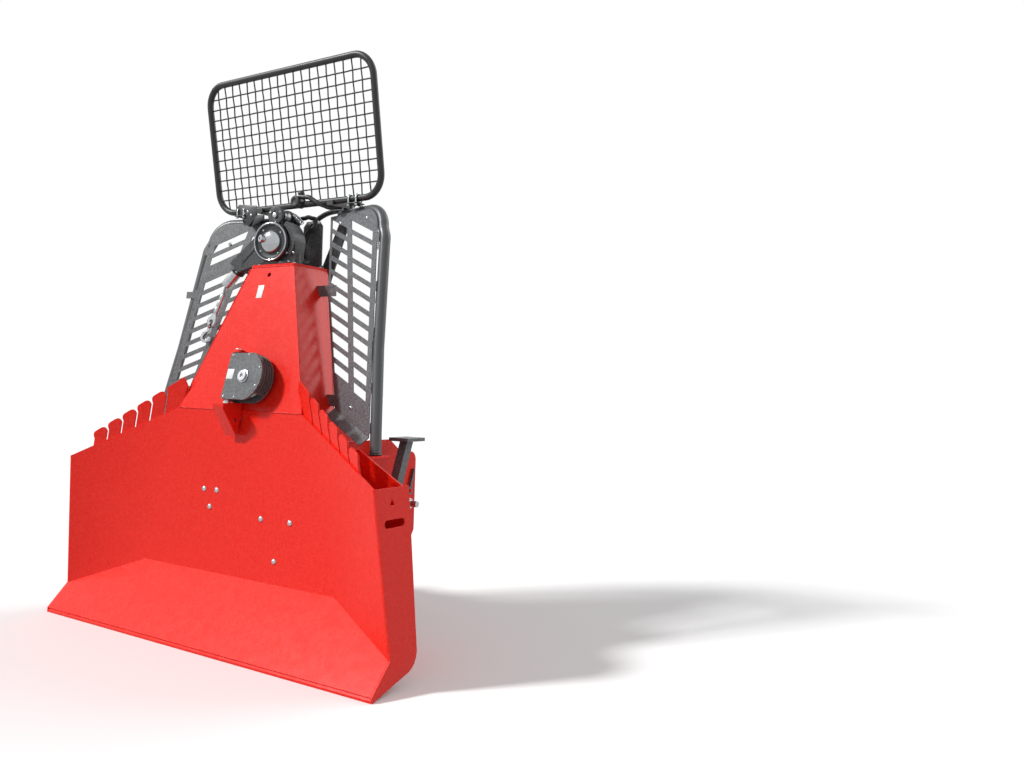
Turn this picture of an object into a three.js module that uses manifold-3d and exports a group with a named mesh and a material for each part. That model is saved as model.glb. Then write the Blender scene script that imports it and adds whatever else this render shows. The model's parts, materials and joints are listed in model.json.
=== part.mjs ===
// Tractor forestry winch: a dozer blade in front of a rope drum, with a guide tower,
// a swivelling upper pulley head, a swing-out lower pulley, operator shields and a guard net.
// Millimetres, +Z up, +Y towards the tractor, +X to the right as seen from behind the load.

import * as THREE from 'three';
import { mergeVertices } from 'three/addons/utils/BufferGeometryUtils.js';
import Module from 'manifold-3d';

const wasm = await Module();
wasm.setup();

// Driving sizes

const seat = 0.3; // gap between pieces that touch
const play = 1; // radial clearance round a turning shaft
const overrun = 4; // how far a cutter passes its work
const reach = 6000; // side of a cutting block, larger than the whole winch
const weld = 0.001; // vertices nearer than this are one vertex

const overall = { width: 2000 };
const facets = { pin: 12, round: 20, wheel: 24, curve: 5, pipe: 6, bends: 16, rope: 8 };

const wall = {
  thick: 8,
  front: 25,
  slotLength: 117,
  slotHeight: 30,
  slotY: -70,
  slotZ: 612,
  notchY: -79,
  notchZ: 692,
  notchSize: 26,
  skidRun: 185,
  skidRise: 51,
  skidBend: 20,
  skidBendZ: 62,
};

const blade = {
  half: overall.width / 2 - wall.thick - seat,
  sheet: 8,
  topHalf: 386,
  topZ: 992,
  toeHalf: 596,
  toeZ: 269,
  shoulderX: overall.width / 2 - 71,
  shoulderY: -177,
  shoulderZ: 744,
  tipY: -228,
  tipZ: 22,
  plugRadius: 7,
  plugProud: 3,
};

const edge = { wide: 70, rake: 15.5 };

const comb = {
  thick: 8,
  firstFoot: 102,
  pitch: 89,
  depth: 45,
  footOut: 36,
  base: 75,
  slot: 5.5,
  lipOut: 62,
  lip: 82,
  crown: 110,
  crownIn: 30,
  crownOut: 6,
  fall: 0.11,
  lobes: 6,
};

const tower = {
  sheet: 8,
  topHalf: 134,
  topZ: 1645,
  topY: 175,
  baseDepth: 191,
  topDepth: 213,
  capThick: 12,
  eyeRadius: 11,
  eyeX: -8,
  eyeDrop: 37,
};

const housing = { sheet: 8, bottomZ: 130, frontY: 415, kneeZ: 800, cover: 5 };

const hitch = {
  x: 590,
  sheet: 12,
  footRear: 60,
  footFront: 380,
  toeZ: 60,
  toeFront: 402,
  waistZ: 430,
  waistY: 470,
  chinZ: 480,
  frontY: 500,
  cornerZ: 832,
  cornerRadius: 40,
  brow: 380,
  browZ: 843,
  crownY: 315,
  crownZ: 890,
  rearBottom: 10,
};

const lowerBeam = { rear: 120, front: 380, bottom: 60, wallThick: 8 };
const upperBeam = { deep: 70, bottom: 700, top: 780, wallThick: 6, gap: 6 };

const topLink = {
  earX: 38,
  earThick: 14,
  base: 10,
  z: 1085,
  y: 466,
  radius: 34,
  pinRadius: 12.5,
  pinHalf: 78,
  braceY: 280,
  footHalf: 34,
};

const lowerPin = { y: 455, z: 600, radius: 14, inner: 468, outer: 652, collar: 24, collarThick: 10 };

const shelf = { x: 706, half: 34, thick: 8, z: 829, depth: 150, gussetDrop: 105, gussetThick: 8 };

const backWall = { thick: 8, bottom: 110, innerZ: 790, shoulderX: 690, shoulderZ: 868, drop: 10 };

const shield = {
  yaw: 13.85,
  lean: 8.3,
  footX: 401.7,
  footY: 176.1,
  footZ: 971.8,
  thick: 4,
  height: 933,
  innerRise: 45,
  kneeU: -197,
  kneeW: 562,
  peakU: -278,
  outerU: 276,
  outerDrop: 66,
  corner: 105,
  cornerU: 110,
  barU: -147.4,
  barLean: 0.284,
  barWide: 36,
  slotRows: 12,
  slotTall: 37,
  slotFall: 0.4,
  slotTop: 38,
  slotLow: 161,
  innerStep: 48,
  innerEdge: 13,
  outerEdge: 32,
  bareRow: 2,
  lipOut: 30,
  lipDown: 38,
  tabTall: 44,
  tabShort: 4,
  lugU: 210,
  lugW: 572,
  lugHalf: 16.5,
  tieTall: 50,
  tieLowZ: 1050,
  tieHighZ: 1541,
};

// The bent tube behind a shield, in the shield's own plane
const tube = {
  radius: 24,
  innerU: -232,
  top: 7,
  arc: 110,
  shoulderU: 137,
  shoulderDrop: 132,
  waistU: 212,
  waistW: 312,
  footU: 306,
  footW: -150,
  sides: 12,
};

const net = {
  footY: 312,
  footZ: 1952,
  lean: 9.7,
  half: 520,
  tall: 607,
  corner: 100,
  tube: 15,
  sides: 10,
  wire: 5,
  slab: 5,
  columns: 20,
  rows: 12,
  clampX: 360,
  clampHalf: 16,
  clampDeep: 12,
};

const support = {
  y: 411,
  thick: 10,
  footHalf: 112,
  footZ: 1556,
  rootHalf: 68,
  rootZ: 1650,
  armInner: 204,
  armOuter: 250,
  armZ: 1905,
  crownZ: 1962,
  lugHalf: 19,
  lugDrop: 20,
  lugRear: 292,
};

const swivel = { y: 282, flange: 62, flangeThick: 10, bore: 40, parked: 190 };

const sheave = { pitch: 70, rim: 88, wide: 40, axle: 21, bore: 21.4, height: 112, hub: 34 };

const head = {
  base: 61,
  baseThick: 8,
  cheek: 84,
  cheekInner: 26,
  cheekThick: 10,
  spineInner: 98,
  spineOuter: 120,
  spineHalf: 46,
  spineFrom: 128,
  spineTo: 212,
  feedU: 54,
  feedHalf: 37,
};

const ring = { outer: 94, inner: 76, back: 48.4, web: 5, face: 64, hubRadius: 34 };
const cap = { radius: 50, lobe: 30, lobeU: 38, thick: 22, ledge: 6 };

const arm = {
  plateInner: 38,
  plateThick: 8,
  hub: 83,
  bore: 21.4,
  angle: 46,
  ropeRadius: 6,
  neck: 34,
  neckAt: 232,
  collarFrom: 222,
  collarTo: 250,
  collar: 33,
};

const nozzle = { length: 92, radius: 25.5, bore: 9.9, flare: 21, flareLength: 12, chamfer: 4 };

const feed = { radius: 35.3, wide: 44, axle: 10, lift: 124, motorRadius: 31, motorLength: 74, plate: 40 };

const ropeEnd = {
  radius: 6,
  ball: 6.2,
  bendU: 17,
  bendW: -27,
  endU: 23,
  endW: -50,
  dirU: 0.37,
  dirV: 0.08,
  dirW: -0.925,
  ferrule: 13,
  ferruleLength: 100,
  thimbleTall: 66,
  thimbleHalf: 22,
  thimbleThick: 15,
  thimbleHole: 11,
  linkRadius: 15,
  linkWire: 5,
  hookTall: 78,
  hookHalf: 26,
  hookThick: 14,
};

const lower = {
  centreZ: 1121,
  hubX: 88,
  radius: 108,
  edgeX: -20,
  tall: 206,
  rear: 16,
  face: 86,
  plate: 10,
  rimThick: 6,
  rimFrom: 96,
  rimTo: -42,
  pinX: -8,
  pinH: 58,
  pinRadius: 12,
  knuckle: 17,
  knuckleTall: 34,
  sheave: 82,
  sheaveWide: 34,
  sheaveNeck: 66,
  boltRadius: 12,
  boltHead: 24,
  boltHeadThick: 12,
  socket: 9,
  lugThick: 12,
  lugHalf: 30,
  lugReach: 84,
  bracketHalf: 33,
  bracketSheet: 6,
  bracketReach: 104,
  bracketLip: 24,
  bracketTall: 172,
  bracketHole: 9,
};

const drum = {
  z: 560,
  barrel: 120,
  flange: 186,
  flangeThick: 10,
  rear: 56,
  inside: 200,
  shaft: 30,
  rearEnd: 14,
  bearing: 74,
  bearingThick: 30,
  stub: 28,
  frontEnd: 404,
};

const rope = { radius: 6, turns: 15, pitch: 12.6, steps: 14, sides: 6 };

const gear = { module: 8, teeth: 36, pinion: 10, from: 306, wide: 34, slack: 0.8, shaft: 17.5, shaftEnd: 520 };

const guard = { outer: 92, thick: 4, length: 96, mouth: 104, flange: 108 };

const tank = { inner: 10, outer: 8, rear: 40, front: 300, tall: 330, round: 30, cap: 26, capTall: 22 };
const valve = { wide: 62, rear: 190, front: 330, bottom: 590, tall: 110, coil: 17, coilLength: 58, gap: 12 };

const leg = {
  x: 700,
  half: 20,
  y: 155,
  z: 470,
  lean: 19.6,
  length: 452,
  pin: 14,
  eye: 28,
  eyeGap: 2,
  footHalf: 50,
  footDeep: 60,
  footThick: 8,
  stub: 24,
  head: 22,
  headThick: 8,
};

const lever = { y: 452, z: 658, disc: 18, thick: 12, pin: 8, arm: 96, half: 7, lean: 15 };

// Materials

function finish(color, roughness, metalness) {
  return new THREE.MeshStandardMaterial({ color, roughness, metalness });
}

const red = finish(0xd9261f, 0.4, 0.05);
const grey = finish(0x5c5f62, 0.55, 0.1);
const black = finish(0x202224, 0.55, 0.1);
const zinc = finish(0xc4c8ca, 0.35, 0.9);
const steel = finish(0x8f9396, 0.45, 0.9);
const castGrey = finish(0x6d7174, 0.5, 0.6);
const wireRope = finish(0x9a9c9d, 0.5, 0.7);
const guardPlastic = finish(0x1c1d1f, 0.6, 0);

// Solids and placing

const X = new THREE.Vector3(1, 0, 0);
const Y = new THREE.Vector3(0, 1, 0);
const Z = new THREE.Vector3(0, 0, 1);

function vec(x, y, z) {
  return new THREE.Vector3(x, y, z);
}

function pt(x, y) {
  return new THREE.Vector2(x, y);
}

function rad(degrees) {
  return THREE.MathUtils.degToRad(degrees);
}

function signedVolume(positions, index) {
  let sum = 0;
  const a = vec(0, 0, 0);
  const b = vec(0, 0, 0);
  const c = vec(0, 0, 0);
  for (let i = 0; i < index.length; i += 3) {
    a.fromArray(positions, index[i] * 3);
    b.fromArray(positions, index[i + 1] * 3);
    c.fromArray(positions, index[i + 2] * 3);
    sum += a.dot(b.cross(c));
  }
  return sum;
}

function solid(geometry) {
  const bare = geometry.clone();
  bare.deleteAttribute('normal');
  bare.deleteAttribute('uv');
  const merged = mergeVertices(bare, weld);
  const positions = merged.attributes.position.array;
  const index = [];
  for (let i = 0; i < merged.index.count; i += 3) {
    const a = merged.index.getX(i);
    const b = merged.index.getX(i + 1);
    const c = merged.index.getX(i + 2);
    if (a !== b && b !== c && c !== a) {
      index.push(a, b, c);
    }
  }
  if (signedVolume(positions, index) < 0) {
    for (let i = 0; i < index.length; i += 3) {
      [index[i], index[i + 1]] = [index[i + 1], index[i]];
    }
  }
  const vertProperties = new Float32Array(positions);
  const triVerts = new Uint32Array(index);
  return new wasm.Manifold(new wasm.Mesh({ numProp: 3, vertProperties, triVerts }));
}

function geometryOf(body) {
  const mesh = body.getMesh();
  const geometry = new THREE.BufferGeometry();
  geometry.setAttribute('position', new THREE.BufferAttribute(new Float32Array(mesh.vertProperties), 3));
  geometry.setIndex(new THREE.BufferAttribute(new Uint32Array(mesh.triVerts), 1));
  geometry.computeVertexNormals();
  return geometry;
}

function mirrored(geometry) {
  const copy = geometry.clone();
  copy.scale(-1, 1, 1);
  const index = copy.index;
  for (let i = 0; i < index.count; i += 3) {
    const a = index.getX(i);
    index.setX(i, index.getX(i + 1));
    index.setX(i + 1, a);
  }
  copy.computeVertexNormals();
  return copy;
}

function join(...bodies) {
  return bodies.reduce((whole, next) => whole.add(next));
}

function cut(body, ...tools) {
  return tools.reduce((rest, tool) => rest.subtract(tool), body);
}

function frameAt(origin, x, y) {
  const z = vec(0, 0, 0).crossVectors(x, y).normalize();
  return new THREE.Matrix4().makeBasis(x, y, z).setPosition(origin);
}

function extruded(shape, depth, frame) {
  const outline = Array.isArray(shape) ? new THREE.Shape(shape) : shape;
  const geometry = new THREE.ExtrudeGeometry(outline, { depth, bevelEnabled: false, curveSegments: facets.curve });
  return solid(geometry.applyMatrix4(frame));
}

// Plates whose outline lies across the winch, across its length, or flat
function slabX(outline, x, thick) {
  return extruded(outline, thick, frameAt(vec(x, 0, 0), Y, Z));
}

function slabY(outline, y, thick) {
  return extruded(outline, thick, frameAt(vec(0, y + thick, 0), X, Z));
}

function slabZ(outline, z, thick) {
  return extruded(outline, thick, frameAt(vec(0, 0, z), X, Y));
}

function block(x0, x1, y0, y1, z0, z1) {
  const geometry = new THREE.BoxGeometry(x1 - x0, y1 - y0, z1 - z0);
  return solid(geometry.translate((x0 + x1) / 2, (y0 + y1) / 2, (z0 + z1) / 2));
}

function rod(from, to, radius, sides = facets.pin) {
  const along = to.clone().sub(from);
  const geometry = new THREE.CylinderGeometry(radius, radius, along.length(), sides);
  geometry.applyQuaternion(new THREE.Quaternion().setFromUnitVectors(Y, along.clone().normalize()));
  const middle = from.clone().add(to).multiplyScalar(0.5);
  return solid(geometry.translate(middle.x, middle.y, middle.z));
}

// A round hole through a body, whose flats, too, lie no nearer than its radius
function bore(from, to, radius, sides = facets.pin) {
  return rod(from, to, radius / Math.cos(Math.PI / sides), sides);
}

// A profile of radius and height, turned about the frame's third axis
function turned(profile, frame, sides = facets.round) {
  const geometry = new THREE.LatheGeometry(profile, sides);
  geometry.rotateX(Math.PI / 2);
  return solid(geometry.applyMatrix4(frame));
}

function pipe(points, radius, sides, steps) {
  const curve = new THREE.CatmullRomCurve3(points, false, 'centripetal');
  const section = new THREE.Shape();
  section.absarc(0, 0, radius, 0, Math.PI * 2);
  const options = { steps, bevelEnabled: false, extrudePath: curve, curveSegments: sides };
  return solid(new THREE.ExtrudeGeometry(section, options));
}

// A round hole whose flats, too, lie no nearer than its radius
function circle(x, y, radius) {
  const sides = facets.round;
  const corner = radius / Math.cos(Math.PI / sides);
  const points = [];
  for (let i = 0; i < sides; i += 1) {
    const angle = (i / sides) * Math.PI * 2;
    points.push(pt(x + Math.cos(angle) * corner, y + Math.sin(angle) * corner));
  }
  return new THREE.Path(points);
}

// Takes away what lies on the side of the plane that its normal points to
function trim(body, point, normal) {
  const z = normal.clone().normalize();
  const x = Math.abs(z.z) < 0.9 ? vec(0, 0, 0).crossVectors(Z, z).normalize() : X.clone();
  const y = vec(0, 0, 0).crossVectors(z, x).normalize();
  const x2 = vec(0, 0, 0).crossVectors(y, z);
  const frame = new THREE.Matrix4().makeBasis(x2, y, z).setPosition(point);
  const tool = new THREE.BoxGeometry(reach, reach, reach).translate(0, 0, reach / 2);
  return body.subtract(solid(tool.applyMatrix4(frame)));
}

// A folded sheet: flat faces that share edges, given a thickness away from the facing side
function foldedSheet(points, faces, facing, thick) {
  const normals = faces.map((face) => {
    const a = points[face[1]].clone().sub(points[face[0]]);
    const b = points[face[2]].clone().sub(points[face[0]]);
    return a.cross(b).normalize();
  });
  const turnedFaces = faces.map((face, i) => (normals[i].dot(facing) < 0 ? [...face].reverse() : face));
  normals.forEach((normal) => {
    if (normal.dot(facing) < 0) {
      normal.negate();
    }
  });
  const back = points.map((point, i) => {
    const around = normals.filter((_, f) => faces[f].includes(i));
    return point.clone().add(offsetBehind(around, thick));
  });
  const positions = [];
  points.concat(back).forEach((point) => positions.push(point.x, point.y, point.z));
  const index = [];
  const count = points.length;
  const edges = new Map();
  turnedFaces.forEach((face) => {
    face.forEach((a, i) => edges.set(a + '-' + face[(i + 1) % face.length], true));
    for (let i = 1; i + 1 < face.length; i += 1) {
      index.push(face[0], face[i], face[i + 1]);
      index.push(face[0] + count, face[i + 1] + count, face[i] + count);
    }
  });
  edges.forEach((_, key) => {
    const [a, b] = key.split('-').map(Number);
    if (!edges.has(b + '-' + a)) {
      index.push(b, a, a + count, b, a + count, b + count);
    }
  });
  const geometry = new THREE.BufferGeometry();
  geometry.setAttribute('position', new THREE.Float32BufferAttribute(positions, 3));
  geometry.setIndex(index);
  return solid(geometry);
}

// The move that lies the given depth behind every one of up to two planes
function offsetBehind(normals, thick) {
  const [a, b] = normals;
  if (normals.length < 2) {
    return a.clone().multiplyScalar(-thick);
  }
  const share = -thick / (1 + a.dot(b));
  return a.clone().add(b).multiplyScalar(share);
}

function planeOf(a, b, c) {
  return new THREE.Plane().setFromCoplanarPoints(a, b, c);
}

function commonPoint(p, q, r) {
  const qr = vec(0, 0, 0).crossVectors(q.normal, r.normal);
  const rp = vec(0, 0, 0).crossVectors(r.normal, p.normal);
  const pq = vec(0, 0, 0).crossVectors(p.normal, q.normal);
  const size = -p.normal.dot(qr);
  const sum = qr.multiplyScalar(p.constant);
  return sum.add(rp.multiplyScalar(q.constant)).add(pq.multiplyScalar(r.constant)).divideScalar(size);
}

// The winch as a scene graph

const winch = new THREE.Group();

function add(name, geometry, material) {
  const mesh = new THREE.Mesh(geometry, material);
  mesh.name = name;
  winch.add(mesh);
  return mesh;
}

function addBody(name, body, material) {
  return add(name, geometryOf(body), material);
}

function addPair(name, rightBody, material) {
  const right = geometryOf(rightBody);
  add(name + '_right', right, material);
  add(name + '_left', mirrored(right), material);
}

// Blade corners, right side

const bladeTop = vec(blade.topHalf, 0, blade.topZ);
const bladeToe = vec(blade.toeHalf, 0, blade.toeZ);
const shoulder = vec(blade.shoulderX, blade.shoulderY, blade.shoulderZ);
const wingPlane = planeOf(bladeTop, bladeToe, shoulder);
const tip = vec(blade.half, blade.tipY, blade.tipZ);
const floorPlane = planeOf(bladeToe, vec(0, 0, blade.toeZ), tip);
const outerPlane = planeOf(vec(blade.half, 0, 0), vec(blade.half, 0, 1), vec(blade.half, 1, 0));
const heel = commonPoint(wingPlane, floorPlane, outerPlane);
const wingBack = wingPlane.normal.clone().multiplyScalar(Math.sign(wingPlane.normal.y));
const floorBack = floorPlane.normal.clone().multiplyScalar(Math.sign(floorPlane.normal.y));
const wallPlane = planeOf(shoulder, shoulder.clone().add(Y), heel);
const wallOut = wallPlane.normal.clone().multiplyScalar(Math.sign(wallPlane.normal.x));

function flip(point) {
  return vec(-point.x, point.y, point.z);
}

function behindWing(distance) {
  return bladeTop.clone().addScaledVector(wingBack, distance);
}

function makeBlade() {
  const right = [bladeTop, bladeToe, shoulder, heel, tip];
  const points = [...right, ...right.map(flip)];
  const faces = [
    [0, 1, 6, 5],
    [0, 2, 3, 1],
    [5, 6, 8, 7],
    [1, 3, 4, 9, 8, 6],
  ];
  let sheet = foldedSheet(points, faces, vec(0, -1, 0.2), blade.sheet);
  for (const side of [1, -1]) {
    sheet = trim(sheet, vec(side * blade.half, 0, 0), vec(side, 0, 0));
    sheet = trim(sheet, vec(side * heel.x, heel.y, heel.z), vec(side * wallOut.x, wallOut.y, wallOut.z));
  }
  return trim(sheet, bladeTop, Z);
}

function makeCuttingEdge() {
  const rise = edge.wide * Math.tan(rad(edge.rake));
  const outline = [
    pt(blade.tipY, 0),
    pt(blade.tipY + edge.wide, rise),
    pt(blade.tipY + edge.wide, blade.toeZ),
    pt(blade.tipY, blade.toeZ),
  ];
  const bar = slabX(outline, -blade.half, blade.half * 2);
  const under = tip.clone().addScaledVector(floorBack, blade.sheet + seat);
  return trim(bar, under, floorBack.clone().negate());
}

function makeSideWall() {
  const bend = new THREE.QuadraticBezierCurve(
    pt(blade.tipY + wall.skidRun, wall.skidRise),
    pt(wall.skidBend, wall.skidBendZ),
    pt(wall.front, heel.z),
  );
  const skid = bend.getPoints(5);
  const out = wall.thick + seat;
  const lowX = blade.half + out;
  const points = [
    vec(lowX, heel.y, heel.z),
    vec(shoulder.x + out, shoulder.y, shoulder.z),
    vec(shoulder.x + out, wall.front, shoulder.z),
    vec(lowX, wall.front, heel.z),
    vec(lowX, blade.tipY, blade.tipZ),
    vec(lowX, blade.tipY, 0),
    ...skid.slice(0, -1).map((p) => vec(lowX, p.x, p.y)),
  ];
  const low = [0, 4, 5];
  skid.slice(0, -1).forEach((_, i) => low.push(6 + i));
  low.push(3);
  const plate = foldedSheet(points, [[0, 1, 2, 3], low], X, wall.thick);
  const reachIn = blade.half - blade.shoulderX + wall.thick * 2;
  const start = blade.shoulderX - wall.thick;
  const half = wall.slotLength / 2 - wall.slotHeight / 2;
  const slot = new THREE.Shape();
  slot.absarc(wall.slotY + half, wall.slotZ, wall.slotHeight / 2, -Math.PI / 2, Math.PI / 2);
  slot.absarc(wall.slotY - half, wall.slotZ, wall.slotHeight / 2, Math.PI / 2, Math.PI * 1.5);
  const notch = [
    pt(wall.notchY - wall.notchSize / 2, wall.notchZ - wall.notchSize / 2),
    pt(wall.notchY + wall.notchSize / 2, wall.notchZ - wall.notchSize / 2),
    pt(wall.notchY, wall.notchZ + wall.notchSize / 2),
  ];
  return cut(plate, slabX(slot, start, reachIn), slabX(notch, start, reachIn));
}

function makeBackWall() {
  const inner = hitch.x + hitch.sheet + seat;
  const rear = wall.front - wall.thick - backWall.thick;
  const outline = [
    pt(inner, backWall.bottom),
    pt(blade.half + wall.thick, backWall.bottom),
    pt(blade.half + wall.thick, shoulder.z - backWall.drop),
    pt(shoulder.x, shoulder.z - backWall.drop),
    pt(backWall.shoulderX, backWall.shoulderZ),
    pt(inner, backWall.innerZ),
  ];
  let plate = slabY(outline, rear, backWall.thick);
  plate = trim(plate, vec(blade.half - seat, 0, 0), X);
  plate = trim(plate, heel.clone().addScaledVector(wallOut, -seat), wallOut);
  const front = rear + backWall.thick;
  const top = block(
    shelf.x - shelf.half,
    shelf.x + shelf.half,
    front - overrun,
    shelf.depth,
    shelf.z,
    shelf.z + shelf.thick,
  );
  const gusset = slabX(
    [
      pt(front - overrun, shelf.z - shelf.gussetDrop),
      pt(front, shelf.z - shelf.gussetDrop),
      pt(shelf.depth - shelf.thick, shelf.z),
      pt(shelf.depth - shelf.thick, shelf.z + overrun),
      pt(front - overrun, shelf.z + overrun),
    ],
    shelf.x - shelf.gussetThick / 2,
    shelf.gussetThick,
  );
  return join(plate, top, gusset);
}

// The comb of chain hooks behind a wing: rounded lobes with a leaning chain slot between them,
// lower from lobe to lobe
function combOutline(lobes) {
  const outline = new THREE.Shape();
  const inner = comb.firstFoot - comb.pitch * 2;
  const at = (along, up) => [along, up - comb.fall * along];
  outline.moveTo(...at(inner, -comb.base));
  outline.lineTo(...at(inner, comb.crown));
  for (let i = 0; i < lobes; i += 1) {
    const foot = comb.firstFoot + comb.pitch * i;
    const last = foot - comb.pitch;
    const left = last - comb.lipOut + comb.slot;
    const right = foot - comb.lipOut - comb.slot;
    if (i > 0) {
      outline.lineTo(...at(last + comb.footOut + comb.slot, -comb.depth));
      outline.lineTo(...at(left, comb.lip));
      outline.quadraticCurveTo(...at(left, comb.crown), ...at(last - comb.crownIn, comb.crown));
    }
    outline.lineTo(...at(last + comb.crownOut - comb.slot, comb.crown));
    outline.quadraticCurveTo(...at(right, comb.crown), ...at(right, comb.lip));
    outline.lineTo(...at(foot + comb.footOut - comb.slot, -comb.depth));
  }
  const end = comb.firstFoot + comb.pitch * (lobes - 1) + comb.footOut;
  outline.lineTo(...at(end, -comb.base));
  return outline;
}

function makeComb(lobes) {
  const along = shoulder.clone().sub(bladeTop).normalize();
  const up = vec(0, 0, 0).crossVectors(along, wingBack.clone().negate()).normalize();
  if (up.z < 0) {
    up.negate();
  }
  const origin = behindWing(blade.sheet + seat + comb.thick);
  const plate = extruded(combOutline(lobes), comb.thick, frameAt(origin, along, up));
  return trim(plate, towerSidePoint().addScaledVector(towerSide, seat), towerSide.clone().negate());
}

// Tower

const towerRise = tower.topZ - blade.topZ;
const towerSlope = tower.topY / towerRise;
const towerUp = vec(0, towerSlope, 1).normalize();
const towerFace = vec(0, 0, 0).crossVectors(X, towerUp).normalize();
const towerSide = vec(towerRise, 0, blade.topHalf - tower.topHalf).normalize();

function towerSidePoint() {
  return vec(blade.topHalf, 0, blade.topZ);
}

function makeTower() {
  const base = blade.topZ + seat;
  const points = [
    vec(blade.topHalf, 0, base),
    vec(tower.topHalf, tower.topY, tower.topZ),
    vec(-tower.topHalf, tower.topY, tower.topZ),
    vec(-blade.topHalf, 0, base),
    vec(blade.topHalf, tower.baseDepth, base),
    vec(tower.topHalf, tower.topY + tower.topDepth, tower.topZ),
    vec(-tower.topHalf, tower.topY + tower.topDepth, tower.topZ),
    vec(-blade.topHalf, tower.baseDepth, base),
  ];
  const rear = foldedSheet(points.slice(0, 4), [[0, 1, 2, 3]], vec(0, -1, 0), tower.sheet);
  const right = [points[0], points[1], points[5], points[4]];
  const side = foldedSheet(right, [[0, 1, 2, 3]], X, tower.sheet);
  const other = foldedSheet(right.map(flip), [[0, 1, 2, 3]], vec(-1, 0, 0), tower.sheet);
  let shell = join(rear, side, other);
  shell = trim(shell, vec(0, 0, tower.topZ), Z);
  shell = trim(shell, vec(0, 0, base), vec(0, 0, -1));
  shell = trim(shell, points[0], towerFace);
  shell = trim(shell, vec(0, tower.baseDepth, blade.topZ), towerFront());
  const eyeZ = tower.topZ - tower.eyeDrop;
  const eye = vec(tower.eyeX, towerSlope * (eyeZ - blade.topZ), eyeZ);
  const through = towerFace.clone().multiplyScalar(tower.sheet * 2);
  const eyeTool = rod(eye.clone().sub(through), eye.clone().add(through), tower.eyeRadius, facets.pin);
  return join(cut(shell, eyeTool), makeUpperLug());
}

// The normal of the plane through the front edges of the tower's sides
function towerFront() {
  const run = tower.topY + tower.topDepth - tower.baseDepth;
  return vec(0, towerRise, -run).normalize();
}

function makeTowerCap() {
  const half = tower.topHalf;
  const z = tower.topZ + seat;
  const rear = tower.topY;
  const outline = new THREE.Shape([
    pt(-half, rear),
    pt(half, rear),
    pt(half, rear + tower.topDepth),
    pt(-half, rear + tower.topDepth),
  ]);
  outline.holes.push(circle(0, swivel.y, swivel.bore));
  return slabZ(outline, z, tower.capThick);
}

// Drive housing and chassis

function makeHousingSide() {
  const rear = blade.sheet + seat;
  const outline = [
    pt(rear, housing.bottomZ),
    pt(housing.frontY, housing.bottomZ),
    pt(housing.frontY, housing.kneeZ),
    pt(tower.baseDepth, blade.topZ),
    pt(rear, blade.topZ),
  ];
  return slabX(outline, blade.topHalf - housing.sheet, housing.sheet);
}

function coverLine() {
  return [
    pt(housing.frontY + seat, housing.bottomZ),
    pt(housing.frontY + seat, housing.kneeZ + seat),
    pt(tower.baseDepth + seat * 2, blade.topZ + seat * 2),
    pt(tower.topY + tower.topDepth + seat, tower.topZ),
  ];
}

function makeFrontCover() {
  const line = coverLine();
  const halves = [blade.topHalf, blade.topHalf, blade.topHalf, tower.topHalf];
  const right = line.map((p, i) => vec(halves[i], p.x, p.y));
  const points = [...right, ...right.map(flip)];
  const faces = [
    [0, 1, 5, 4],
    [1, 2, 6, 5],
    [2, 3, 7, 6],
  ];
  let sheet = foldedSheet(points, faces, vec(0, -1, 0), housing.cover);
  sheet = trim(sheet, vec(0, 0, tower.topZ), Z);
  const inside = housing.frontY + seat;
  const bossFrom = vec(0, drum.frontEnd - drum.bearingThick, drum.z);
  const boss = rod(bossFrom, vec(0, inside + housing.cover / 2, drum.z), drum.bearing * 0.8, facets.round);
  const drumHole = rod(bossFrom.clone().setY(0), vec(0, drum.frontEnd + seat, drum.z), drum.stub + play, facets.round);
  const shaftZ = drum.z - centreDistance();
  const shaftFrom = vec(0, gear.from + gear.wide + gear.slack * 4, shaftZ);
  const nose = rod(shaftFrom, vec(0, inside + housing.cover / 2, shaftZ), gear.shaft * 2.4, facets.round);
  const hole = rod(vec(0, 0, shaftZ), vec(0, reach, shaftZ), gear.shaft + play, facets.round);
  return cut(join(sheet, boss, nose), drumHole, hole);
}

function makeHitchPlate() {
  const corner = hitch.cornerRadius;
  const outline = new THREE.Shape();
  outline.moveTo(hitch.footRear, 0);
  outline.lineTo(hitch.footFront, 0);
  outline.lineTo(hitch.toeFront, hitch.toeZ);
  outline.lineTo(hitch.waistY, hitch.waistZ);
  outline.lineTo(hitch.frontY, hitch.chinZ);
  outline.absarc(hitch.frontY - corner, hitch.cornerZ - corner, corner, 0, Math.PI / 2);
  outline.lineTo(hitch.brow, hitch.browZ);
  outline.lineTo(hitch.crownY, hitch.crownZ);
  outline.lineTo(blade.tipY, hitch.crownZ);
  outline.lineTo(blade.tipY, blade.toeZ);
  outline.lineTo(hitch.rearBottom, blade.toeZ);
  outline.lineTo(hitch.rearBottom, hitch.toeZ);
  let plate = slabX(outline, hitch.x, hitch.sheet);
  const behind = behindWing(blade.sheet + comb.thick + seat * 2);
  plate = trim(plate, behind, wingBack.clone().negate());
  const outside = hitch.x + hitch.sheet;
  const inside = leg.x - leg.half - leg.eyeGap;
  const outer = leg.x + leg.half + leg.eyeGap;
  const pivot = (x) => vec(x, leg.y, leg.z);
  const stub = rod(pivot(outside - overrun), pivot(inside), leg.stub);
  const pin = rod(pivot(inside - overrun), pivot(outer + overrun), leg.pin);
  const pinHead = rod(pivot(outer), pivot(outer + leg.headThick), leg.head);
  const bolt = rod(vec(outside - overrun, lever.y, lever.z), vec(outside + lever.thick * 1.4, lever.y, lever.z), lever.pin);
  const pinHole = rod(vec(hitch.x - overrun, lowerPin.y, lowerPin.z), vec(outside + overrun, lowerPin.y, lowerPin.z), lowerPin.radius + seat);
  return cut(join(plate, stub, pin, pinHead, bolt), pinHole);
}

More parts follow.
